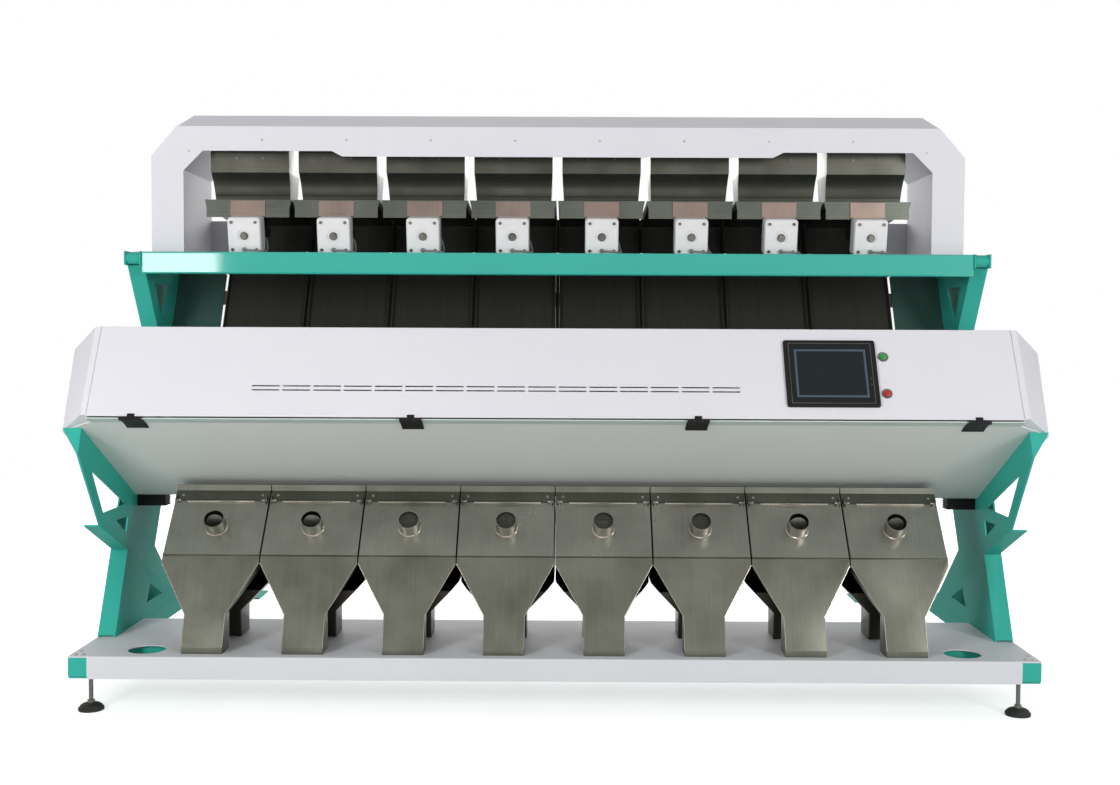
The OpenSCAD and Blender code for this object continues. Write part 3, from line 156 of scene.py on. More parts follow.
def add(tree, kind, inputs=None, **settings):
    """One node with its settings; an input is a value or another node's output."""
    node = tree.nodes.new(kind)
    for name, value in settings.items():
        setattr(node, name, value)
    for name, value in (inputs or {}).items():
        if isinstance(value, bpy.types.NodeSocket):
            tree.links.new(value, node.inputs[name])
        else:
            node.inputs[name].default_value = value
    return node


def new_tree(name):
    """An empty material and its node tree."""
    finish = bpy.data.materials.new(name)
    finish.use_nodes = True
    finish.node_tree.nodes.clear()
    return finish, finish.node_tree


def per_metre(size_mm):
    """A pattern's scale from the real size of one of its features."""
    return 1 / mm(size_mm)


print("white paint in linear light:", [round(c, 3) for c in linear("#E4E3E8")])

# %% [markdown]
# ## Stage
# The machine stands on a white studio floor. A floor that is white only because it is lit hard
# would burn out the white panels too, so it glows gently for the camera, for glossy surfaces and
# for glass, and stays an ordinary pale surface for all other light. Under the machine the glow is
# held back, which keeps the shadow, and it grows with distance until the floor is as white as the
# sky behind it: a photographer hangs a curved paper sweep for the same end.

# %% Floor and sky
FLOOR_HALF = 6
SHADOW_GLOW = 0.62
SWEEP_START = 1.5
SWEEP_END = 3.6
SKY_LIGHT = 0.3


def seen_directly(tree):
    """1 for light that reaches the camera straight, in a gloss or through glass."""
    rays = add(tree, "ShaderNodeLightPath").outputs
    gloss = add(tree, "ShaderNodeMath", {0: rays["Is Camera Ray"], 1: rays["Is Glossy Ray"]})
    glass = {0: gloss.outputs[0], 1: rays["Is Transmission Ray"]}
    return add(tree, "ShaderNodeMath", glass, use_clamp=True).outputs[0]


studio_floor, tree = new_tree("studio_floor")
spot = add(tree, "ShaderNodeTexCoord").outputs["Object"]
away = add(tree, "ShaderNodeVectorMath", {0: spot}, operation="LENGTH").outputs["Value"]
sweep = add(
    tree,
    "ShaderNodeMapRange",
    {
        "Value": away,
        "From Min": SWEEP_START,
        "From Max": SWEEP_END,
        "To Min": SHADOW_GLOW,
        "To Max": 1.0,
    },
)
shown = {0: seen_directly(tree), 1: sweep.outputs[0]}
glow = add(tree, "ShaderNodeMath", shown, operation="MULTIPLY").outputs[0]
paper = add(tree, "ShaderNodeBsdfDiffuse", {"Color": linear("#E8E8E8")})
light = add(tree, "ShaderNodeEmission", {"Color": linear("#FFFFFF"), "Strength": glow})
both = add(tree, "ShaderNodeAddShader", {0: paper.outputs[0], 1: light.outputs[0]})
add(tree, "ShaderNodeOutputMaterial", {"Surface": both.outputs[0]})

bm = bmesh.new()
bmesh.ops.create_grid(bm, x_segments=1, y_segments=1, size=FLOOR_HALF)
bmesh.ops.translate(bm, verts=bm.verts, vec=(0, 0, cad_box[0][2]))
mesh = bpy.data.meshes.new("floor")
bm.to_mesh(mesh)
bm.free()
mesh.materials.append(studio_floor)
floor = bpy.data.objects.new("floor", mesh)
bpy.context.scene.collection.objects.link(floor)

world = bpy.data.worlds.new("studio_sky")
bpy.context.scene.world = world
world.use_nodes = True
tree = world.node_tree
tree.nodes.clear()
levels = {"Value": seen_directly(tree), "To Min": SKY_LIGHT, "To Max": 1.0}
brightness = add(tree, "ShaderNodeMapRange", levels).outputs[0]
sky = add(tree, "ShaderNodeBackground", {"Color": linear("#FFFFFF"), "Strength": brightness})
add(tree, "ShaderNodeOutputWorld", {"Surface": sky.outputs[0]})
print("stage: floor", 2 * FLOOR_HALF, "m wide")

# %% [markdown]
# ## Studio lamps
# Two upright soft boxes stand left and right of the camera, so the fronts are lit evenly and the
# depths of the frame stay dark. The left one is kept out of reflections, or the steel hoppers would
# mirror it, and a small strip beside it puts the white glare on the left end of the glossy green
# beam. A box behind the machine keeps its rear readable from other views. None of them is seen by
# the camera.

# %% Soft boxes
def soft_box(name, place, target, width, height, watts, mirrored=True):
    """A rectangular lamp that looks at a point; it may be kept out of reflections."""
    lamp = bpy.data.lights.new(name, "AREA")
    lamp.shape = "RECTANGLE"
    lamp.size = width
    lamp.size_y = height
    lamp.energy = watts
    box = bpy.data.objects.new(name, lamp)
    box.location = place
    box.rotation_euler = (Vector(target) - Vector(place)).to_track_quat("-Z", "Y").to_euler()
    box.visible_camera = False
    box.visible_glossy = mirrored
    bpy.context.scene.collection.objects.link(box)
    print(f"lamp: {name}, {watts} W")


soft_box(
    "left_box",
    place=(-2.75, -4.4, 2.0),
    target=(-0.3, 0, 1.0),
    width=1.2,
    height=2.2,
    watts=96,
    mirrored=False,
)
soft_box(
    "left_strip",
    place=(-2.7, -4.4, 1.7),
    target=(-1.3, 0, 1.5),
    width=0.7,
    height=0.4,
    watts=14,
)
soft_box(
    "right_box",
    place=(3.7, -4.6, 1.9),
    target=(0.3, 0, 1.0),
    width=1.2,
    height=2.2,
    watts=106,
)
soft_box(
    "back_box",
    place=(0, 4.5, 3.2),
    target=(0, 0, 1.0),
    width=4.5,
    height=2.0,
    watts=130,
)

# %% [markdown]
# ## Powder coat
# The steel frame and the covers are powder coated: dry paint is blown on and melted in an oven. It
# flows almost flat, with a soft gloss, but keeps a fine ripple like orange peel. The ripple is
# about 2 mm wide on the real sheet and is drawn 9 mm wide here, because anything finer is smaller
# than a pixel. A second, far larger pattern shifts the colour by a hair, as spraying by hand does,
# and a third varies the gloss where hands and cloths have rubbed it.

# %% Powder coat finishes
CLOUD_MM = 420
PEEL_MM = 9
PEEL_DEPTH_MM = 0.4
RUB_MM = 130


def powder_coat(name, light_hex, dark_hex, roughness, shine=0.5, gloss=0.0):
    """Oven-melted paint: even colour, soft gloss, slight ripple."""
    finish, tree = new_tree(name)
    place = add(tree, "ShaderNodeTexCoord").outputs["Object"]
    spread = {"Vector": place, "Scale": per_metre(CLOUD_MM), "Detail": 3.0}
    cloud = add(tree, "ShaderNodeTexNoise", spread).outputs[0]
    tones = {MIX_SHARE: cloud, MIX_DARK: linear(dark_hex), MIX_LIGHT: linear(light_hex)}
    tone = add(tree, "ShaderNodeMix", tones, data_type="RGBA").outputs[MIX_COLOUR_OUT]
    flow = {"Vector": place, "Scale": per_metre(PEEL_MM), "Detail": 2.0}
    peel = add(tree, "ShaderNodeTexNoise", flow).outputs[0]
    relief = {"Height": peel, "Strength": 0.06, "Distance": mm(PEEL_DEPTH_MM)}
    ripple = add(tree, "ShaderNodeBump", relief).outputs[0]
    wiping = {"Vector": place, "Scale": per_metre(RUB_MM), "Detail": 5.0}
    rub = add(tree, "ShaderNodeTexNoise", wiping).outputs[0]
    dullness = {"Value": rub, "To Min": roughness - 0.06, "To Max": roughness + 0.08}
    sheen = add(tree, "ShaderNodeMapRange", dullness).outputs[0]
    coat = add(
        tree,
        "ShaderNodeBsdfPrincipled",
        {
            "Base Color": tone,
            "Roughness": sheen,
            "Normal": ripple,
            "Specular IOR Level": shine,
            "Coat Weight": gloss,
            "Coat Roughness": 0.06,
        },
    )
    add(tree, "ShaderNodeOutputMaterial", {"Surface": coat.outputs[0]})
    print("finish:", name)
    return finish


green_powder_coat = powder_coat(
    "green_powder_coat", "#3DB4A4", "#34A696", roughness=0.55, shine=0.15
)
green_gloss_coat = powder_coat(
    "green_gloss_coat", "#29B5A4", "#22AB9A", roughness=0.45, shine=0.2, gloss=1.0
)
# Painted shade: the chute side panels are the frame's green, darkened to the shade they stand in.
panel_green_painted_shade = powder_coat("panel_green_painted_shade", "#3E5F56", "#334F47", roughness=0.45, shine=0.3)
white_powder_coat = powder_coat("white_powder_coat", "#E6E5EA", "#DFDEE4", roughness=0.6)
deck_powder_coat = powder_coat("deck_powder_coat", "#DCDDE1", "#D2D4D8", roughness=0.5)
grey_powder_coat = powder_coat("grey_powder_coat", "#DCE1DD", "#D6DBD7", roughness=0.6)
sill_powder_coat = powder_coat("sill_powder_coat", "#C8D6CF", "#BDCBC4", roughness=0.5)
rail_black_paint = powder_coat("rail_black_paint", "#1E201D", "#151715", roughness=0.6)
rail_grey_paint = powder_coat("rail_grey_paint", "#6E7375", "#62676A", roughness=0.5)

# %% [markdown]
# ## Brushed stainless steel
# Hoppers, lids and trays are stainless sheet. The mill leaves a fine grain along one direction, so
# gloss stretches across it, and bending, welding and wiping leave cloudy patches. The grain is made
# by a noise that is squeezed across the sheet and long along it. Its scratches are finer than a
# pixel on the real sheet and are drawn 5 mm apart. Turned, plated and ground steel shares the
# recipe, with a grain that is the same in every direction.

# %% Stainless finishes
UPRIGHT_GRAIN = (5, 160, 160)
LEVEL_GRAIN = (160, 5, 5)
EVEN_GRAIN = (12, 12, 12)
GRAIN_DEPTH_MM = 0.5
PATCH_MM = 150
PATCH_SHARE = 0.75


def brushed_stainless(name, light_hex, dark_hex, grain, smooth, dull):
    """Rolled and brushed sheet: long grain, cloudy patches, warm grey shine."""
    finish, tree = new_tree(name)
    place = add(tree, "ShaderNodeTexCoord").outputs["Object"]
    stretch = {"Vector": place, "Scale": [per_metre(size) for size in grain]}
    along = add(tree, "ShaderNodeMapping", stretch).outputs[0]
    fine = {"Vector": along, "Scale": 1.0, "Detail": 4.0}
    scratch = add(tree, "ShaderNodeTexNoise", fine).outputs[0]
    wide = {"Vector": place, "Scale": per_metre(PATCH_MM), "Detail": 4.0}
    patch = add(tree, "ShaderNodeTexNoise", wide).outputs[0]
    shares = {MIX_SHARE: PATCH_SHARE, MIX_VALUES[0]: scratch, MIX_VALUES[1]: patch}
    mixed = add(tree, "ShaderNodeMix", shares).outputs[0]
    middling = {"Value": mixed, "From Min": 0.3, "From Max": 0.7}
    spread = add(tree, "ShaderNodeMapRange", middling).outputs[0]
    tones = {MIX_SHARE: spread, MIX_DARK: linear(dark_hex), MIX_LIGHT: linear(light_hex)}
    tone = add(tree, "ShaderNodeMix", tones, data_type="RGBA").outputs[MIX_COLOUR_OUT]
    polish = {"Value": spread, "To Min": dull, "To Max": smooth}
    shine = add(tree, "ShaderNodeMapRange", polish).outputs[0]
    relief = {"Height": scratch, "Strength": 0.06, "Distance": mm(GRAIN_DEPTH_MM)}
    groove = add(tree, "ShaderNodeBump", relief).outputs[0]
    steel = add(
        tree,
        "ShaderNodeBsdfPrincipled",
        {"Base Color": tone, "Metallic": 1.0, "Roughness": shine, "Normal": groove},
    )
    add(tree, "ShaderNodeOutputMaterial", {"Surface": steel.outputs[0]})
    print("finish:", name)
    return finish


# Painted reflection: the front hoppers take a darker copy of the steel, which offsets the bright
# floor they mirror, and the lids a lighter copy, which offsets the dark underside they mirror.
hopper_stainless_painted_shade = brushed_stainless(
    "hopper_stainless_painted_shade", "#76776D", "#5B5C52", UPRIGHT_GRAIN, smooth=0.3, dull=0.44
)
# Painted shade: the rear hoppers take a much darker copy of the steel for the shade under the box.
rear_stainless_painted_shade = brushed_stainless(
    "rear_stainless_painted_shade", "#4C4942", "#35332D", UPRIGHT_GRAIN, smooth=0.3, dull=0.44
)
lid_stainless_painted_light = brushed_stainless(
    "lid_stainless_painted_light", "#B0AFA6", "#8F8E85", UPRIGHT_GRAIN, smooth=0.25, dull=0.4
)
feed_stainless = brushed_stainless(
    "feed_stainless", "#62625B", "#47473F", LEVEL_GRAIN, smooth=0.26, dull=0.4
)
tray_stainless = brushed_stainless(
    "tray_stainless", "#6A6E66", "#52564F", LEVEL_GRAIN, smooth=0.24, dull=0.36
)
# Painted reflection: the yokes' brown tint stands for a brownish reflection on the trays over each
# vibrator.
yoke_painted_reflection = brushed_stainless(
    "yoke_painted_reflection", "#94837A", "#7B6D64", UPRIGHT_GRAIN, smooth=0.3, dull=0.42
)
seam_steel = brushed_stainless(
    "seam_steel", "#C9C2B8", "#988D82", EVEN_GRAIN, smooth=0.2, dull=0.35
)
nut_steel = brushed_stainless("nut_steel", "#7D7B75", "#504E49", EVEN_GRAIN, smooth=0.25, dull=0.4)
zinc_plate = brushed_stainless(
    "zinc_plate", "#C4C3BE", "#96958F", EVEN_GRAIN, smooth=0.25, dull=0.4
)
spring_steel = brushed_stainless(
    "spring_steel", "#5A5C5E", "#3E4042", LEVEL_GRAIN, smooth=0.3, dull=0.45
)

# %% [markdown]
# ## Chute coating
# Grain slides down the chutes at several metres a second, so they are aluminium with a hard dark
# oxide skin. The skin is matt, and the grain polishes faint streaks into it along the slope.

# %% Chute finish
STREAK_MM = (14, 700, 700)

chute_oxide, tree = new_tree("chute_oxide")
place = add(tree, "ShaderNodeTexCoord").outputs["Object"]
stretch = {"Vector": place, "Scale": [per_metre(size) for size in STREAK_MM]}
along = add(tree, "ShaderNodeMapping", stretch).outputs[0]
fine = {"Vector": along, "Scale": 1.0, "Detail": 5.0}
streak = add(tree, "ShaderNodeTexNoise", fine).outputs[0]
tones = {MIX_SHARE: streak, MIX_DARK: linear("#2A2C27"), MIX_LIGHT: linear("#3A3B34")}
tone = add(tree, "ShaderNodeMix", tones, data_type="RGBA").outputs[MIX_COLOUR_OUT]
polish = {"Value": streak, "To Min": 0.62, "To Max": 0.42}
worn = add(tree, "ShaderNodeMapRange", polish).outputs[0]
skin = add(
    tree,
    "ShaderNodeBsdfPrincipled",
    {"Base Color": tone, "Roughness": worn, "Specular IOR Level": 0.35},
)
add(tree, "ShaderNodeOutputMaterial", {"Surface": skin.outputs[0]})
print("finish:", chute_oxide.name)

# %% [markdown]
# ## Cast enamel, plastics and rubber
# The vibrator casings are cast aluminium under thick white enamel, which keeps a slight pebble of
# the sand mould. The screen housing and hinges are moulded black plastic with a fine spark-eroded
# grain. The pads under the feet are black rubber, duller and dusty. They share one recipe, because
# all of them are a coloured body with a grained skin.

# %% Moulded and cast finishes
DUST_MM = 40


def moulded(name, light_hex, dark_hex, grain_mm, depth_mm, roughness, coat=0.0, shine=0.5):
    """A coloured body with a fine pebbled skin."""
    finish, tree = new_tree(name)
    place = add(tree, "ShaderNodeTexCoord").outputs["Object"]
    fine = {"Vector": place, "Scale": per_metre(grain_mm), "Detail": 3.0}
    pebble = add(tree, "ShaderNodeTexNoise", fine).outputs[0]
    wide = {"Vector": place, "Scale": per_metre(DUST_MM), "Detail": 4.0}
    dust = add(tree, "ShaderNodeTexNoise", wide).outputs[0]
    tones = {MIX_SHARE: dust, MIX_DARK: linear(dark_hex), MIX_LIGHT: linear(light_hex)}
    tone = add(tree, "ShaderNodeMix", tones, data_type="RGBA").outputs[MIX_COLOUR_OUT]
    dullness = {"Value": dust, "To Min": roughness - 0.05, "To Max": roughness + 0.1}
    dull = add(tree, "ShaderNodeMapRange", dullness).outputs[0]
    relief = {"Height": pebble, "Strength": 0.15, "Distance": mm(depth_mm)}
    skin = add(tree, "ShaderNodeBump", relief).outputs[0]
    body = add(
        tree,
        "ShaderNodeBsdfPrincipled",
        {
            "Base Color": tone,
            "Roughness": dull,
            "Normal": skin,
            "Specular IOR Level": shine,
            "Coat Weight": coat,
            "Coat Roughness": 0.1,
        },
    )
    add(tree, "ShaderNodeOutputMaterial", {"Surface": body.outputs[0]})
    print("finish:", name)
    return finish


cast_enamel = moulded(
    "cast_enamel", "#EDEBEC", "#DFDDDF", grain_mm=3, depth_mm=0.3, roughness=0.3, coat=0.5
)
black_plastic = moulded(
    "black_plastic", "#101213", "#090B0C", grain_mm=2, depth_mm=0.2, roughness=0.45, shine=0.2
)
camera_paint = moulded(
    "camera_paint", "#55595C", "#474B4E", grain_mm=3, depth_mm=0.3, roughness=0.45
)
lead_jacket = moulded("lead_jacket", "#8F9291", "#6F7272", grain_mm=3, depth_mm=0.2, roughness=0.45)
pad_rubber = moulded("pad_rubber", "#23241F", "#141511", grain_mm=2, depth_mm=0.4, roughness=0.7)
start_lens = moulded(
    "start_lens", "#109C42", "#0B8437", grain_mm=4, depth_mm=0.1, roughness=0.3, coat=0.1
)
stop_lens = moulded(
    "stop_lens", "#C41512", "#A30F0D", grain_mm=4, depth_mm=0.1, roughness=0.3, coat=0.1
)
panel_blue_grey = moulded(
    "panel_blue_grey", "#4F5C68", "#45525E", grain_mm=4, depth_mm=0.1, roughness=0.5, shine=0.2
)

# %% [markdown]
# ## Glass and lamps
# The screen is off: dark glass over a darker panel, with a touch of blue. The viewing windows are
# clear float glass, greenish at the edge. The lamp tubes are white-coated glass. Each gets slight
# unevenness, so that a gloss on it doesn't look like a perfect mirror.

# %% Glass finishes
SMEAR_MM = 60
GLASS_IOR = 1.5


def glass_skin(name, light_hex, dark_hex, roughness, transmission, shine=0.5):
    """Smooth glass over a body colour, faintly smeared."""
    finish, tree = new_tree(name)
    place = add(tree, "ShaderNodeTexCoord").outputs["Object"]
    wide = {"Vector": place, "Scale": per_metre(SMEAR_MM), "Detail": 3.0}
    smear = add(tree, "ShaderNodeTexNoise", wide).outputs[0]
    tones = {MIX_SHARE: smear, MIX_DARK: linear(dark_hex), MIX_LIGHT: linear(light_hex)}
    tone = add(tree, "ShaderNodeMix", tones, data_type="RGBA").outputs[MIX_COLOUR_OUT]
    dullness = {"Value": smear, "To Min": roughness, "To Max": roughness + 0.08}
    wiped = add(tree, "ShaderNodeMapRange", dullness).outputs[0]
    glass = add(
        tree,
        "ShaderNodeBsdfPrincipled",
        {
            "Base Color": tone,
            "Roughness": wiped,
            "IOR": GLASS_IOR,
            "Specular IOR Level": shine,
            "Transmission Weight": transmission,
        },
    )
    add(tree, "ShaderNodeOutputMaterial", {"Surface": glass.outputs[0]})
    print("finish:", name)
    return finish


display_glass = glass_skin(
    "display_glass", "#1F2729", "#1A2123", roughness=0.2, transmission=0.0, shine=0.12
)
float_glass = glass_skin("float_glass", "#DDEBE6", "#CFE2DC", roughness=0.02, transmission=0.9)
lamp_glass = glass_skin("lamp_glass", "#F4F4EE", "#EAEAE2", roughness=0.2, transmission=0.0)

# %% [markdown]
# ## Rounded folds
# Sheet metal is folded round a tool, so no outer corner is knife sharp. The thin bright line where
# a fold catches the lamps tells the eye that a panel is bent steel. A copy of each sheet is merged,
# its flat triangles are joined, and only the long outer folds are bevelled: the cut rims stay
# square, as shears leave them. A bevel modifier would round every corner, so the edges are picked
# one by one, by their length, their angle and the width of the faces beside them.

# %% Folded copies of the sheets
FLAT_ANGLE = math.radians(1)
FOLD_ANGLE = math.radians(20)
SMOOTH_ANGLE = math.radians(13)
MERGE_MM = 0.01


def add_piece(name, bm, finish, body):
    """A finished bmesh as a piece that rides on a body."""
    mesh = bpy.data.meshes.new(name)
    bm.to_mesh(mesh)
    bm.free()
    mesh.polygons.foreach_set("use_smooth", [True] * len(mesh.polygons))
    mesh.set_sharp_from_angle(angle=SMOOTH_ANGLE)
    mesh.materials.append(finish)
    piece = bpy.data.objects.new(name, mesh)
    bpy.context.scene.collection.objects.link(piece)
    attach(piece, body)
    return piece


def is_wide(loop, width):
    """True where a face reaches further than a width from the middle of one of its edges."""
    start = loop.vert.co
    along = loop.link_loop_next.vert.co - start
    inward = loop.face.normal.cross(along).normalized()
    return bmesh.geometry.intersect_face_point(loop.face, start + along / 2 + inward * width)


def is_fold(edge, shortest, widest_rim):
    """True for a long outer corner between two panels, and not for a cut rim."""
    if len(edge.link_faces) != 2 or edge.calc_length() < mm(shortest):
        return False
    if edge.calc_face_angle_signed(0) < FOLD_ANGLE:
        return False
    return widest_rim == 0 or all(is_wide(loop, mm(widest_rim)) for loop in edge.link_loops)


def merged(node):
    """A working copy of a node with its flat triangles joined."""
    bm = bmesh.new()
    bm.from_mesh(nodes[node].data)
    bmesh.ops.remove_doubles(bm, verts=bm.verts, dist=mm(MERGE_MM))
    bmesh.ops.dissolve_limit(bm, angle_limit=FLAT_ANGLE, verts=bm.verts, edges=bm.edges)
    return bm


def round_off(bm, edges, radius, segments):
    """Bevels some edges of a working copy to a radius in millimetres."""
    bmesh.ops.bevel(
        bm,
        geom=edges,
        offset=mm(radius),
        affect="EDGES",
        segments=segments,
        profile=0.5,
        material=-1,
        clamp_overlap=True,
    )


def fold_copy(node, finish, radius, shortest=60, widest_rim=7):
    """A copy of a sheet with rounded folds, which stands for the node."""
    bm = merged(node)
    folds = [edge for edge in bm.edges if is_fold(edge, shortest, widest_rim)]
    round_off(bm, folds, radius, segments=3)
    piece = add_piece(f"{node}_folded", bm, finish, body_of_node[node])
    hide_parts(node)
    print(f"{node}: {len(folds)} folds of {radius} mm")


for node in ("hood_shell", "end_caps", "box_shell", "rear_box"):
    fold_copy(node, white_powder_coat, radius=4)
fold_copy("front_door", white_powder_coat, radius=1, shortest=300, widest_rim=1)
fold_copy("platform_plate", deck_powder_coat, radius=4)
fold_copy("base_frame", green_powder_coat, radius=5)
fold_copy("cross_beam", green_gloss_coat, radius=6)
for node in ("side_frame_left", "side_frame_right"):
    fold_copy(node, green_powder_coat, radius=2, widest_rim=4)
fold_copy("front_hoppers", hopper_stainless_painted_shade, radius=1)
fold_copy("rear_hoppers", rear_stainless_painted_shade, radius=4)
fold_copy("feed_hoppers", feed_stainless, radius=4)
for lane in LANES:
    fold_copy(f"tray_{lane}", tray_stainless, radius=3)

# %% [markdown]
# ## Softer corners on castings and mouldings
# A casting needs generous corners, or the metal tears as it cools, and a plastic housing needs them
# so that it leaves its mould. The same function rounds them, each with its own radius and without
# the limits that keep cut rims square.

# %% Rounded castings and mouldings
fold_copy("vibrator_cases", cast_enamel, radius=6, shortest=0, widest_rim=0)
fold_copy("vibrator_covers", cast_enamel, radius=1.5, shortest=0, widest_rim=0)
fold_copy("screen_frame", black_plastic, radius=1.5, shortest=0, widest_rim=0)
fold_copy("air_blocks", black_plastic, radius=0.6, shortest=10, widest_rim=0)

# %% [markdown]
# ## The other nodes
# Everything else keeps its own solid and only takes a finish. A table of finishes and nodes is
# easier to check than many single lines. A later cell prints any node that was forgotten.

# %% Finishes for the rest of the machine
finish_nodes = {
    white_powder_coat: ["hood_fascia"],
    panel_green_painted_shade: ["chute_side_panels"],
    grey_powder_coat: ["box_underside"],
    sill_powder_coat: ["door_sill"],
    rail_black_paint: ["feeder_rail"],
    rail_grey_paint: ["chute_bars", "inner_rails", "valve_blocks"],
    feed_stainless: ["gate_plates"],
    lid_stainless_painted_light: [f"lid_{lane}" for lane in LANES],
    zinc_plate: ["hinge_pins", "pivot_bolts"],
    nut_steel: ["foot_studs", "vibrator_nuts", "feeder_screws", "button_bezels"],
    spring_steel: ["tray_springs"],
    chute_oxide: ["chutes"],
    black_plastic: ["hinge_bases", "hinge_leaves"],
    camera_paint: ["cameras"],
    lead_jacket: ["vibrator_leads"],
    pad_rubber: ["foot_pads"],
    display_glass: ["screen_glass"],
    float_glass: ["viewing_glass"],
    lamp_glass: ["lamps"],
}
for finish, names in finish_nodes.items():
    for name in names:
        nodes[name].data.materials.clear()
        nodes[name].data.materials.append(finish)
dressed = {name for names in finish_nodes.values() for name in names}
print("kept as they are:", len(dressed), "nodes")

# %% [markdown]
# ## Turned parts
# Screw heads and button caps are round, so they are spun from half a profile, the way a lathe makes
# them. A place is a small frame of its own that stands on a surface, with its z axis leaving the
# surface, so one profile fits anywhere.

# %% Places and the lathe
ACROSS = Vector((1, 0, 0))
FRONT = Vector((0, -1, 0))
UP = Vector((0, 0, 1))
DOOR_TOWARD = Vector((0, -0.88, 0.48))
FACING = 0.8
SPIN_MERGE_MM = 0.001


def stand_on(point, normal):
    """A frame on a surface: x across the machine, z along the surface's normal."""
    axes = Matrix((ACROSS, normal.cross(ACROSS), normal)).transposed()
    return Matrix.Translation(point) @ axes.to_4x4()


def flat_panel(node, toward):
    """The frame on a node's largest flat face that looks along a direction."""
    faces_by_plane = {}
    for face in nodes[node].data.polygons:
        if face.normal.dot(toward) > FACING:
            plane = (round(face.normal.z, 2), round(face.normal.dot(face.center), 4))
            faces_by_plane.setdefault(plane, []).append(face)
    faces = max(faces_by_plane.values(), key=lambda group: sum(face.area for face in group))
    area = sum(face.area for face in faces)
    point = sum((face.center * face.area for face in faces), Vector()) / area
    return stand_on(Vector((middle(node).x, point.y, point.z)), faces[0].normal)


def lathe(bm, profile, place, sides=20):
    """Spins a profile of (radius, height) points in millimetres round the z axis of a place."""
    before = set(bm.verts)
    points = [bm.verts.new((mm(radius), 0, mm(height))) for radius, height in profile]
    edges = [bm.edges.new(pair) for pair in zip(points, points[1:])]
    bmesh.ops.spin(
        bm,
        geom=points + edges,
        cent=(0, 0, 0),
        axis=UP,
        angle=math.tau,
        steps=sides,
        use_merge=True,
    )
    spun = [vert for vert in bm.verts if vert not in before]
    bmesh.ops.remove_doubles(bm, verts=spun, dist=mm(SPIN_MERGE_MM))
    spun = [vert for vert in bm.verts if vert not in before]
    bmesh.ops.transform(bm, matrix=place, verts=spun)


def closed_piece(name, bm, finish, body):
    """Turns all faces outward and adds the piece."""
    bmesh.ops.recalc_face_normals(bm, faces=bm.faces)
    print(f"{name}: {len(bm.faces)} faces")
    return add_piece(name, bm, finish, body)


door_place = flat_panel("front_door", DOOR_TOWARD)
door_out = door_place.col[2].to_3d()
print("door leans back", round(math.degrees(math.asin(door_out.z)), 1), "degrees")

# %% [markdown]
# ## Screws
# A round-head socket screw is a dome with a hollow for the key. The fascia is held by a row of
# small ones, each hopper band by two, and the platform by larger ones at its corners. All screws of
# one kind are one piece. A head's profile is given in shares of its radius and height, so that one
# list serves every size. The places on the bands are counted from the dust stub of the same lane,
# because the record gives a mounting point there.

# %% Screw heads
HEAD_SHARES = ((0, 0.4), (0.42, 0.4), (0.46, 1), (0.8, 0.86), (1, 0.35), (1, 0), (0, 0))
# On the fascia: both ways from the middle, and down from its top
FASCIA_SCREW_X = (151, 453, 755, 1057)
FASCIA_END_X = 1320
FASCIA_ROW_DROP = 48
FASCIA_END_DROP = 40
# On the bands: sideways, up the slope and down to the sheet, from the end of the dust stub
BAND_SCREW_X = 134
BAND_UP = 128
BAND_DROP = 24.3
# On the deck: inward and back from each front corner
DECK_SCREWS = ((18, 22), (42, 22), (18, 70))
SIDES = (-1, 1)


def screws(name, places, radius, height):
    """One piece of many screw heads, each from the floor of its key hole to its underside."""
    head = [(radius * r, height * h) for r, h in HEAD_SHARES]
    bm = bmesh.new()
    for place in places:
        lathe(bm, head, place)
    closed_piece(name, bm, zinc_plate, "machine_frame")


fascia_low, fascia_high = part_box("hood_fascia")
row_z = fascia_high.z - mm(FASCIA_ROW_DROP)
spots = [(mm(side * x), row_z) for x in FASCIA_SCREW_X for side in SIDES]
spots += [(mm(side * FASCIA_END_X), row_z - mm(FASCIA_END_DROP)) for side in SIDES]
fascia_places = [stand_on(Vector((x, fascia_low.y, z)), FRONT) for x, z in spots]
screws("fascia_screws", fascia_places, radius=4, height=2.2)

stub_place = {}
for mount in record["mounts"]:
    if mount["name"].startswith("dust_stub"):
        lane = int(mount["name"].rsplit("_", 1)[1])
        stub_place[lane] = stand_on(Vector(mount["pos_m"]), Vector(mount["axis"]))
corners = [(mm(side * BAND_SCREW_X), mm(BAND_UP), mm(-BAND_DROP)) for side in SIDES]
shifts = [Matrix.Translation(corner) for corner in corners]
band_places = [stub_place[lane] @ shift for lane in LANES for shift in shifts]
screws("band_screws", band_places, radius=4.5, height=2.5)

deck_low, deck_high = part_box("platform_plate")
spots = [
    (side * (deck_high.x - mm(x)), deck_low.y + mm(y)) for side in SIDES for x, y in DECK_SCREWS
]
deck_places = [stand_on(Vector((x, y, deck_z)), UP) for x, y in spots]
screws("deck_screws", deck_places, radius=6, height=4)

# %% [markdown]
# ## Operator panel
# The screen has a thin bright line set into its black frame and a blue-grey border printed behind
# the glass. Both are flat rings: a rectangle is inset, its middle is cut out and the rest is
# extruded, which gives mitred corners. Two pin-head lamps sit in the frame on the right. All of it
# rides on the door.

# %% Screen rings and pin-head lamps
LINE_SIZE = (256, 208)
LINE_BAR = 1.3
LINE_THICK = 0.4
BORDER_SIZE = (222, 166)
BORDER_BAR = 7
BORDER_THICK = 0.3
PIN_LAMP_X = 121
PIN_LAMPS_UP = (-17, -38)
PIN_LAMP = ((0, 0.8), (1.2, 0.6), (1.8, 0), (0, 0))


def moved_verts(extruded):
    """The new vertices that an extrusion gave."""
    return [item for item in extruded["geom"] if isinstance(item, bmesh.types.BMVert)]


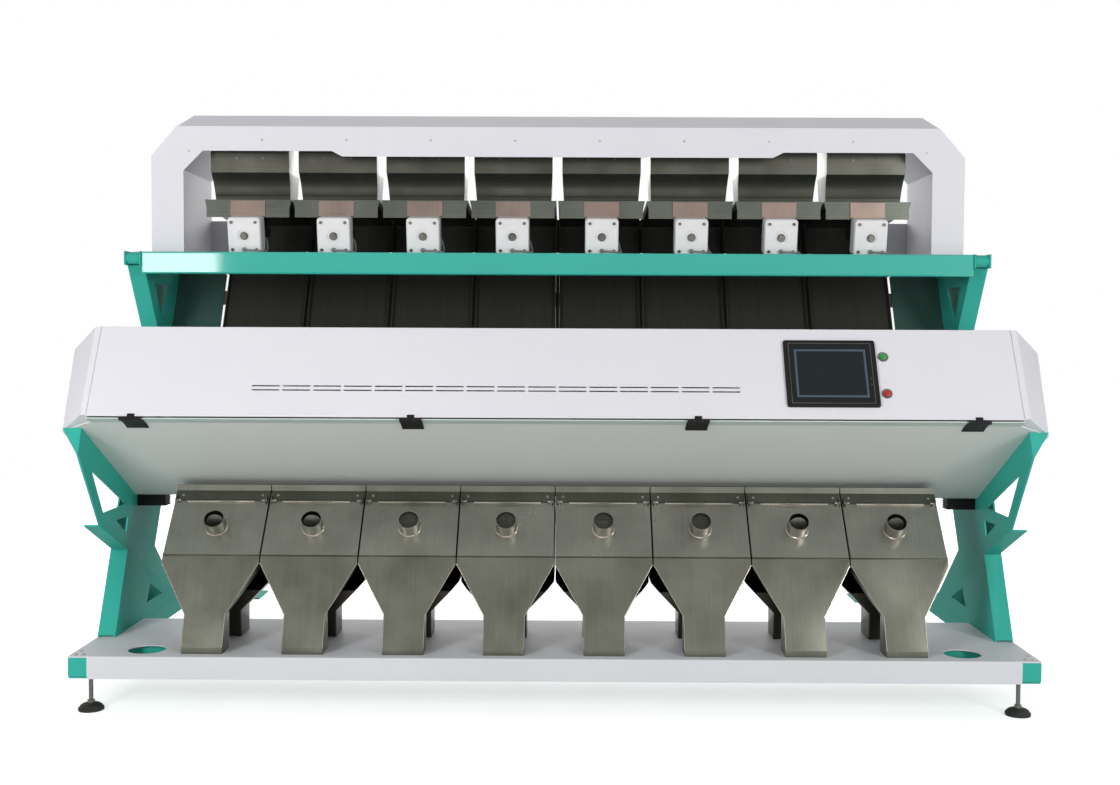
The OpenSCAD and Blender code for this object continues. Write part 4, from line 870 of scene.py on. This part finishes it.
def flat_ring(bm, size, bar, thick, place):
    """A rectangular ring, in millimetres, lying on a place."""
    before = set(bm.verts)
    halves = Matrix.Diagonal((mm(size[0] / 2), mm(size[1] / 2), 1, 1))
    sheet = bmesh.ops.create_grid(bm, x_segments=1, y_segments=1, size=1, matrix=halves)
    panel = sheet["verts"][0].link_faces[0]
    inset = bmesh.ops.inset_region(
        bm, faces=[panel], thickness=mm(bar), use_boundary=True, use_even_offset=True
    )
    bmesh.ops.delete(bm, geom=[panel], context="FACES")
    raised = bmesh.ops.extrude_face_region(bm, geom=inset["faces"])
    bmesh.ops.translate(bm, verts=moved_verts(raised), vec=UP * mm(thick))
    bmesh.ops.transform(bm, matrix=place, verts=[v for v in bm.verts if v not in before])


def reach(node, point, normal):
    """How far a node stands out of a point along a direction."""
    return max((vert.co - point).dot(normal) for vert in nodes[node].data.vertices)


screen = middle("screen_glass")
frame_face = stand_on(screen + door_out * reach("screen_frame", screen, door_out), door_out)
glass_face = stand_on(screen + door_out * reach("screen_glass", screen, door_out), door_out)
bm = bmesh.new()
flat_ring(bm, LINE_SIZE, LINE_BAR, LINE_THICK, frame_face)
for up in PIN_LAMPS_UP:
    lathe(bm, PIN_LAMP, frame_face @ Matrix.Translation((mm(PIN_LAMP_X), mm(up), 0)), sides=12)
closed_piece("screen_line", bm, nut_steel, "door")
bm = bmesh.new()
flat_ring(bm, BORDER_SIZE, BORDER_BAR, BORDER_THICK, glass_face)
closed_piece("screen_border", bm, panel_blue_grey, "door")

# %% [markdown]
# ## Push buttons
# A push button is moulded with a domed cap, so that a thumb finds its middle. Each cap is spun
# between the outermost and innermost points of the plain solid that it stands for. The door leans,
# so the middle of the cap is measured along the door's own axes: the middle of an upright box would
# lie beside the button's axis.

# %% Domed button caps
CAP_RADIUS = 11
CAP_EDGE_DROP = 5
STEM_RADIUS = 8
DOME = ((0, 0), (4, 0.2), (7.5, 0.9), (9.8, 2.2), (10.8, 3.6), (CAP_RADIUS, CAP_EDGE_DROP))


def middle_along(node, axes):
    """The middle of a node measured along three axes, which may be tilted."""
    point = Vector()
    for axis in axes:
        places = [vert.co.dot(axis) for vert in nodes[node].data.vertices]
        point += axis * (min(places) + max(places)) / 2
    return point


door_axes = (ACROSS, door_out.cross(ACROSS), door_out)
for node, finish, body in (
    ("start_button", start_lens, "start_cap"),
    ("stop_button", stop_lens, "stop_cap"),
):
    centre = middle_along(node, door_axes)
    top = reach(node, centre, door_out) * MM_PER_METRE
    foot = -reach(node, centre, -door_out) * MM_PER_METRE
    profile = [(radius, top - drop) for radius, drop in DOME]
    profile += [(STEM_RADIUS, top - CAP_EDGE_DROP), (STEM_RADIUS, foot), (0, foot)]
    bm = bmesh.new()
    lathe(bm, profile, stand_on(centre, door_out), sides=32)
    cap = closed_piece(f"{node}_cap", bm, finish, body)
    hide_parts(node)

# %% [markdown]
# ## Dust stubs
# A pipe stub is welded into each lid. The weld is a rippled bead round its foot, brighter than the
# sheet because it is ground. The middle stubs are closed by woven wire, the outer ones by a small
# throttle flap. Wire and beads are tubes along a path: a circle stands at every point, with a
# radius of its own, and each pair of neighbours is bridged. A curve with a bevel could do the same,
# but it has to be made a mesh afterwards.

# %% Welds, wire screens and flaps
STUB_RADIUS = 35
BORE_RADIUS = 31.5
WELD_DROP = 23.5
WELD_RIPPLES = 56
BEAD_RADII = (3.5, 4.2)
SCREENED = (3, 4, 5, 6)
SCREEN_UP = 12
WIRE_STEP = 5
WIRE_RADIUS = 0.7
WIRE_WAVE = 0.5
WIRE_POINTS_APART = 2
FLAP_TILT = 55
FLAP_SHARE = 0.9
FLAP_RIM_SHARE = 0.93
FLAP_HALF = 0.8
# create_circle starts on the y axis, and this turns its first point to the x axis
CIRCLE_FROM_X = Matrix.Rotation(math.radians(-90), 4, "Z")


def tube(bm, path, radii, sides=6):
    """A round tube along a path, with one radius in millimetres for each point."""
    last = len(path) - 1
    rings = []
    for i, point in enumerate(path):
        ahead = path[min(i + 1, last)] - path[max(i - 1, 0)]
        turn = ahead.to_track_quat("Z", "Y").to_matrix().to_4x4()
        circle = bmesh.ops.create_circle(
            bm,
            cap_ends=i in (0, last),
            segments=sides,
            radius=mm(radii[i]),
            matrix=Matrix.Translation(point) @ turn @ CIRCLE_FROM_X,
        )
        rings.append({edge for vert in circle["verts"] for edge in vert.link_edges})
    for near, far in zip(rings, rings[1:]):
        bmesh.ops.bridge_loops(bm, edges=list(near | far))


def weld_ring(bm, place):
    """A rippled bead round the foot of a stub."""
    path, radii = [], []
    for k in range(2 * WELD_RIPPLES + 1):
        angle = math.tau * k / (2 * WELD_RIPPLES)
        x, y = STUB_RADIUS * math.cos(angle), STUB_RADIUS * math.sin(angle)
        path.append(place @ Vector((mm(x), mm(y), mm(-WELD_DROP))))
        radii.append(BEAD_RADII[k % 2])
    tube(bm, path, radii, sides=8)


def woven_wire(bm, place):
    """Wires across a stub's bore, each going over and under its neighbours."""
    count = int(BORE_RADIUS // WIRE_STEP)
    for row in range(-count, count + 1):
        half = int(math.sqrt(BORE_RADIUS**2 - (row * WIRE_STEP) ** 2))
        for swap_axes in (False, True):
            path = []
            for k in range(-half, half + 1, WIRE_POINTS_APART):
                wave = WIRE_WAVE * math.sin(math.pi * (k / WIRE_STEP + row + swap_axes))
                x, y = (row * WIRE_STEP, k) if swap_axes else (k, row * WIRE_STEP)
                path.append(place @ Vector((mm(x), mm(y), mm(SCREEN_UP + wave))))
            tube(bm, path, [WIRE_RADIUS] * len(path), sides=5)


def throttle_flap(bm, place):
    """A tilted disc in a stub's bore, thinner at its rim."""
    face, rim = FLAP_SHARE * BORE_RADIUS, FLAP_RIM_SHARE * BORE_RADIUS
    disc = [(0, FLAP_HALF), (face, FLAP_HALF), (rim, 0), (face, -FLAP_HALF), (0, -FLAP_HALF)]
    lathe(bm, disc, place @ Matrix.Rotation(math.radians(FLAP_TILT), 4, "X"), sides=36)


for lane in LANES:
    bm = bmesh.new()
    weld_ring(bm, stub_place[lane])
    closed_piece(f"stub_weld_{lane}", bm, seam_steel, f"hopper_lid_{lane}")
    bm = bmesh.new()
    closure = woven_wire if lane in SCREENED else throttle_flap
    closure(bm, stub_place[lane])
    closed_piece(f"stub_closure_{lane}", bm, nut_steel, f"hopper_lid_{lane}")

# %% [markdown]
# ## Hopper seams
# A hopper is welded up from flat blanks. The seams down its front corners are made from outside and
# ground to a thin bright line, which draws the outline of each hopper. They follow the edges of the
# large front faces, so they are taken from the merged sheet and don't need a single typed place.

# %% Ground seams down the hopper fronts
SEAM_RADIUS = 1.5
FRONT_FACING = 0.9
LEAST_FRONT_M2 = 0.02
LEAST_RISE = 40

sheet = merged("front_hoppers")
bm = bmesh.new()
for face in sheet.faces:
    if face.normal.dot(FRONT) > FRONT_FACING and face.calc_area() > LEAST_FRONT_M2:
        for edge in face.edges:
            low, high = sorted((vert.co for vert in edge.verts), key=lambda point: point.z)
            if high.z - low.z > mm(LEAST_RISE):
                tube(bm, [low, high], [SEAM_RADIUS] * 2)
sheet.free()
closed_piece("hopper_seams", bm, seam_steel, "machine_frame")

# %% [markdown]
# ## Lid handles
# A lid is lifted by a strip along its upper edge. A cut edge would be sharp, so the strip's rim is
# rolled to a thin bead that is kind to the fingers and catches the light. The rim is found as the
# uppermost long face that looks along the pipe stub, and the bead is a tube along it.

# %% Rolled rims on the lid handles
RIM_RADIUS = 3
LEAST_GRIP = 150
SAME_WAY = 0.99


def longest_edge(face):
    """The length of a face's longest edge."""
    return max(edge.calc_length() for edge in face.edges)


for lane in LANES:
    sheet = merged(f"lid_{lane}")
    up, out = (stub_place[lane].col[k].to_3d() for k in (1, 2))
    level = [face for face in sheet.faces if face.normal.dot(out) > SAME_WAY]
    long_faces = [face for face in level if longest_edge(face) > mm(LEAST_GRIP)]
    rim = max(long_faces, key=lambda face: face.calc_center_median().dot(up))
    half = ACROSS * longest_edge(rim) / 2
    centre = rim.calc_center_median() - out * mm(RIM_RADIUS)
    sheet.free()
    bm = bmesh.new()
    tube(bm, [centre - half, centre + half], [RIM_RADIUS] * 2, sides=12)
    closed_piece(f"lid_rim_{lane}", bm, seam_steel, f"hopper_lid_{lane}")

# %% [markdown]
# ## Vibrator yokes
# Each vibrator shakes its tray through a yoke on the tray's apron: a strip folded to a shallow
# channel, so that it is stiff. The channel's outline is extruded to its height and its folds are
# rounded. Its brown tint is a painted reflection.

# %% Folded yokes
YOKE_HALF = 63
YOKE_DEEP = 5
YOKE_SHEET = 2
YOKE_HIGH = 56
YOKE_FOLD = 0.8
LEAST_YOKE_FOLD = 20
YOKE_INNER = YOKE_HALF - YOKE_SHEET
YOKE_FLOOR = YOKE_DEEP - YOKE_SHEET
YOKE_OUTLINE = (
    (-YOKE_HALF, 0),
    (-YOKE_HALF, YOKE_DEEP),
    (YOKE_HALF, YOKE_DEEP),
    (YOKE_HALF, 0),
    (YOKE_INNER, 0),
    (YOKE_INNER, YOKE_FLOOR),
    (-YOKE_INNER, YOKE_FLOOR),
    (-YOKE_INNER, 0),
)

for lane in LANES:
    bm = bmesh.new()
    corners = [bm.verts.new((mm(x), mm(-YOKE_HIGH / 2), mm(out))) for x, out in YOKE_OUTLINE]
    drawn = bmesh.ops.extrude_face_region(bm, geom=[bm.faces.new(corners)])
    bmesh.ops.translate(bm, verts=moved_verts(drawn), vec=(0, mm(YOKE_HIGH), 0))
    bmesh.ops.recalc_face_normals(bm, faces=bm.faces)
    folds = [edge for edge in bm.edges if is_fold(edge, LEAST_YOKE_FOLD, widest_rim=0)]
    round_off(bm, folds, YOKE_FOLD, segments=2)
    bmesh.ops.transform(bm, matrix=flat_panel(f"tray_{lane}", FRONT), verts=bm.verts)
    closed_piece(f"yoke_{lane}", bm, yoke_painted_reflection, f"feed_tray_{lane}")

# %% [markdown]
# ## Nothing left bare
# A node is done when it has a finish of its own or when a detailed piece stands for it, which hides
# it. Whatever is in neither group was forgotten.

# %% Nodes without a finish
replaced = {name for name in nodes if nodes[name].hide_render}
print("nodes without a finish:", sorted(set(nodes) - dressed - replaced))
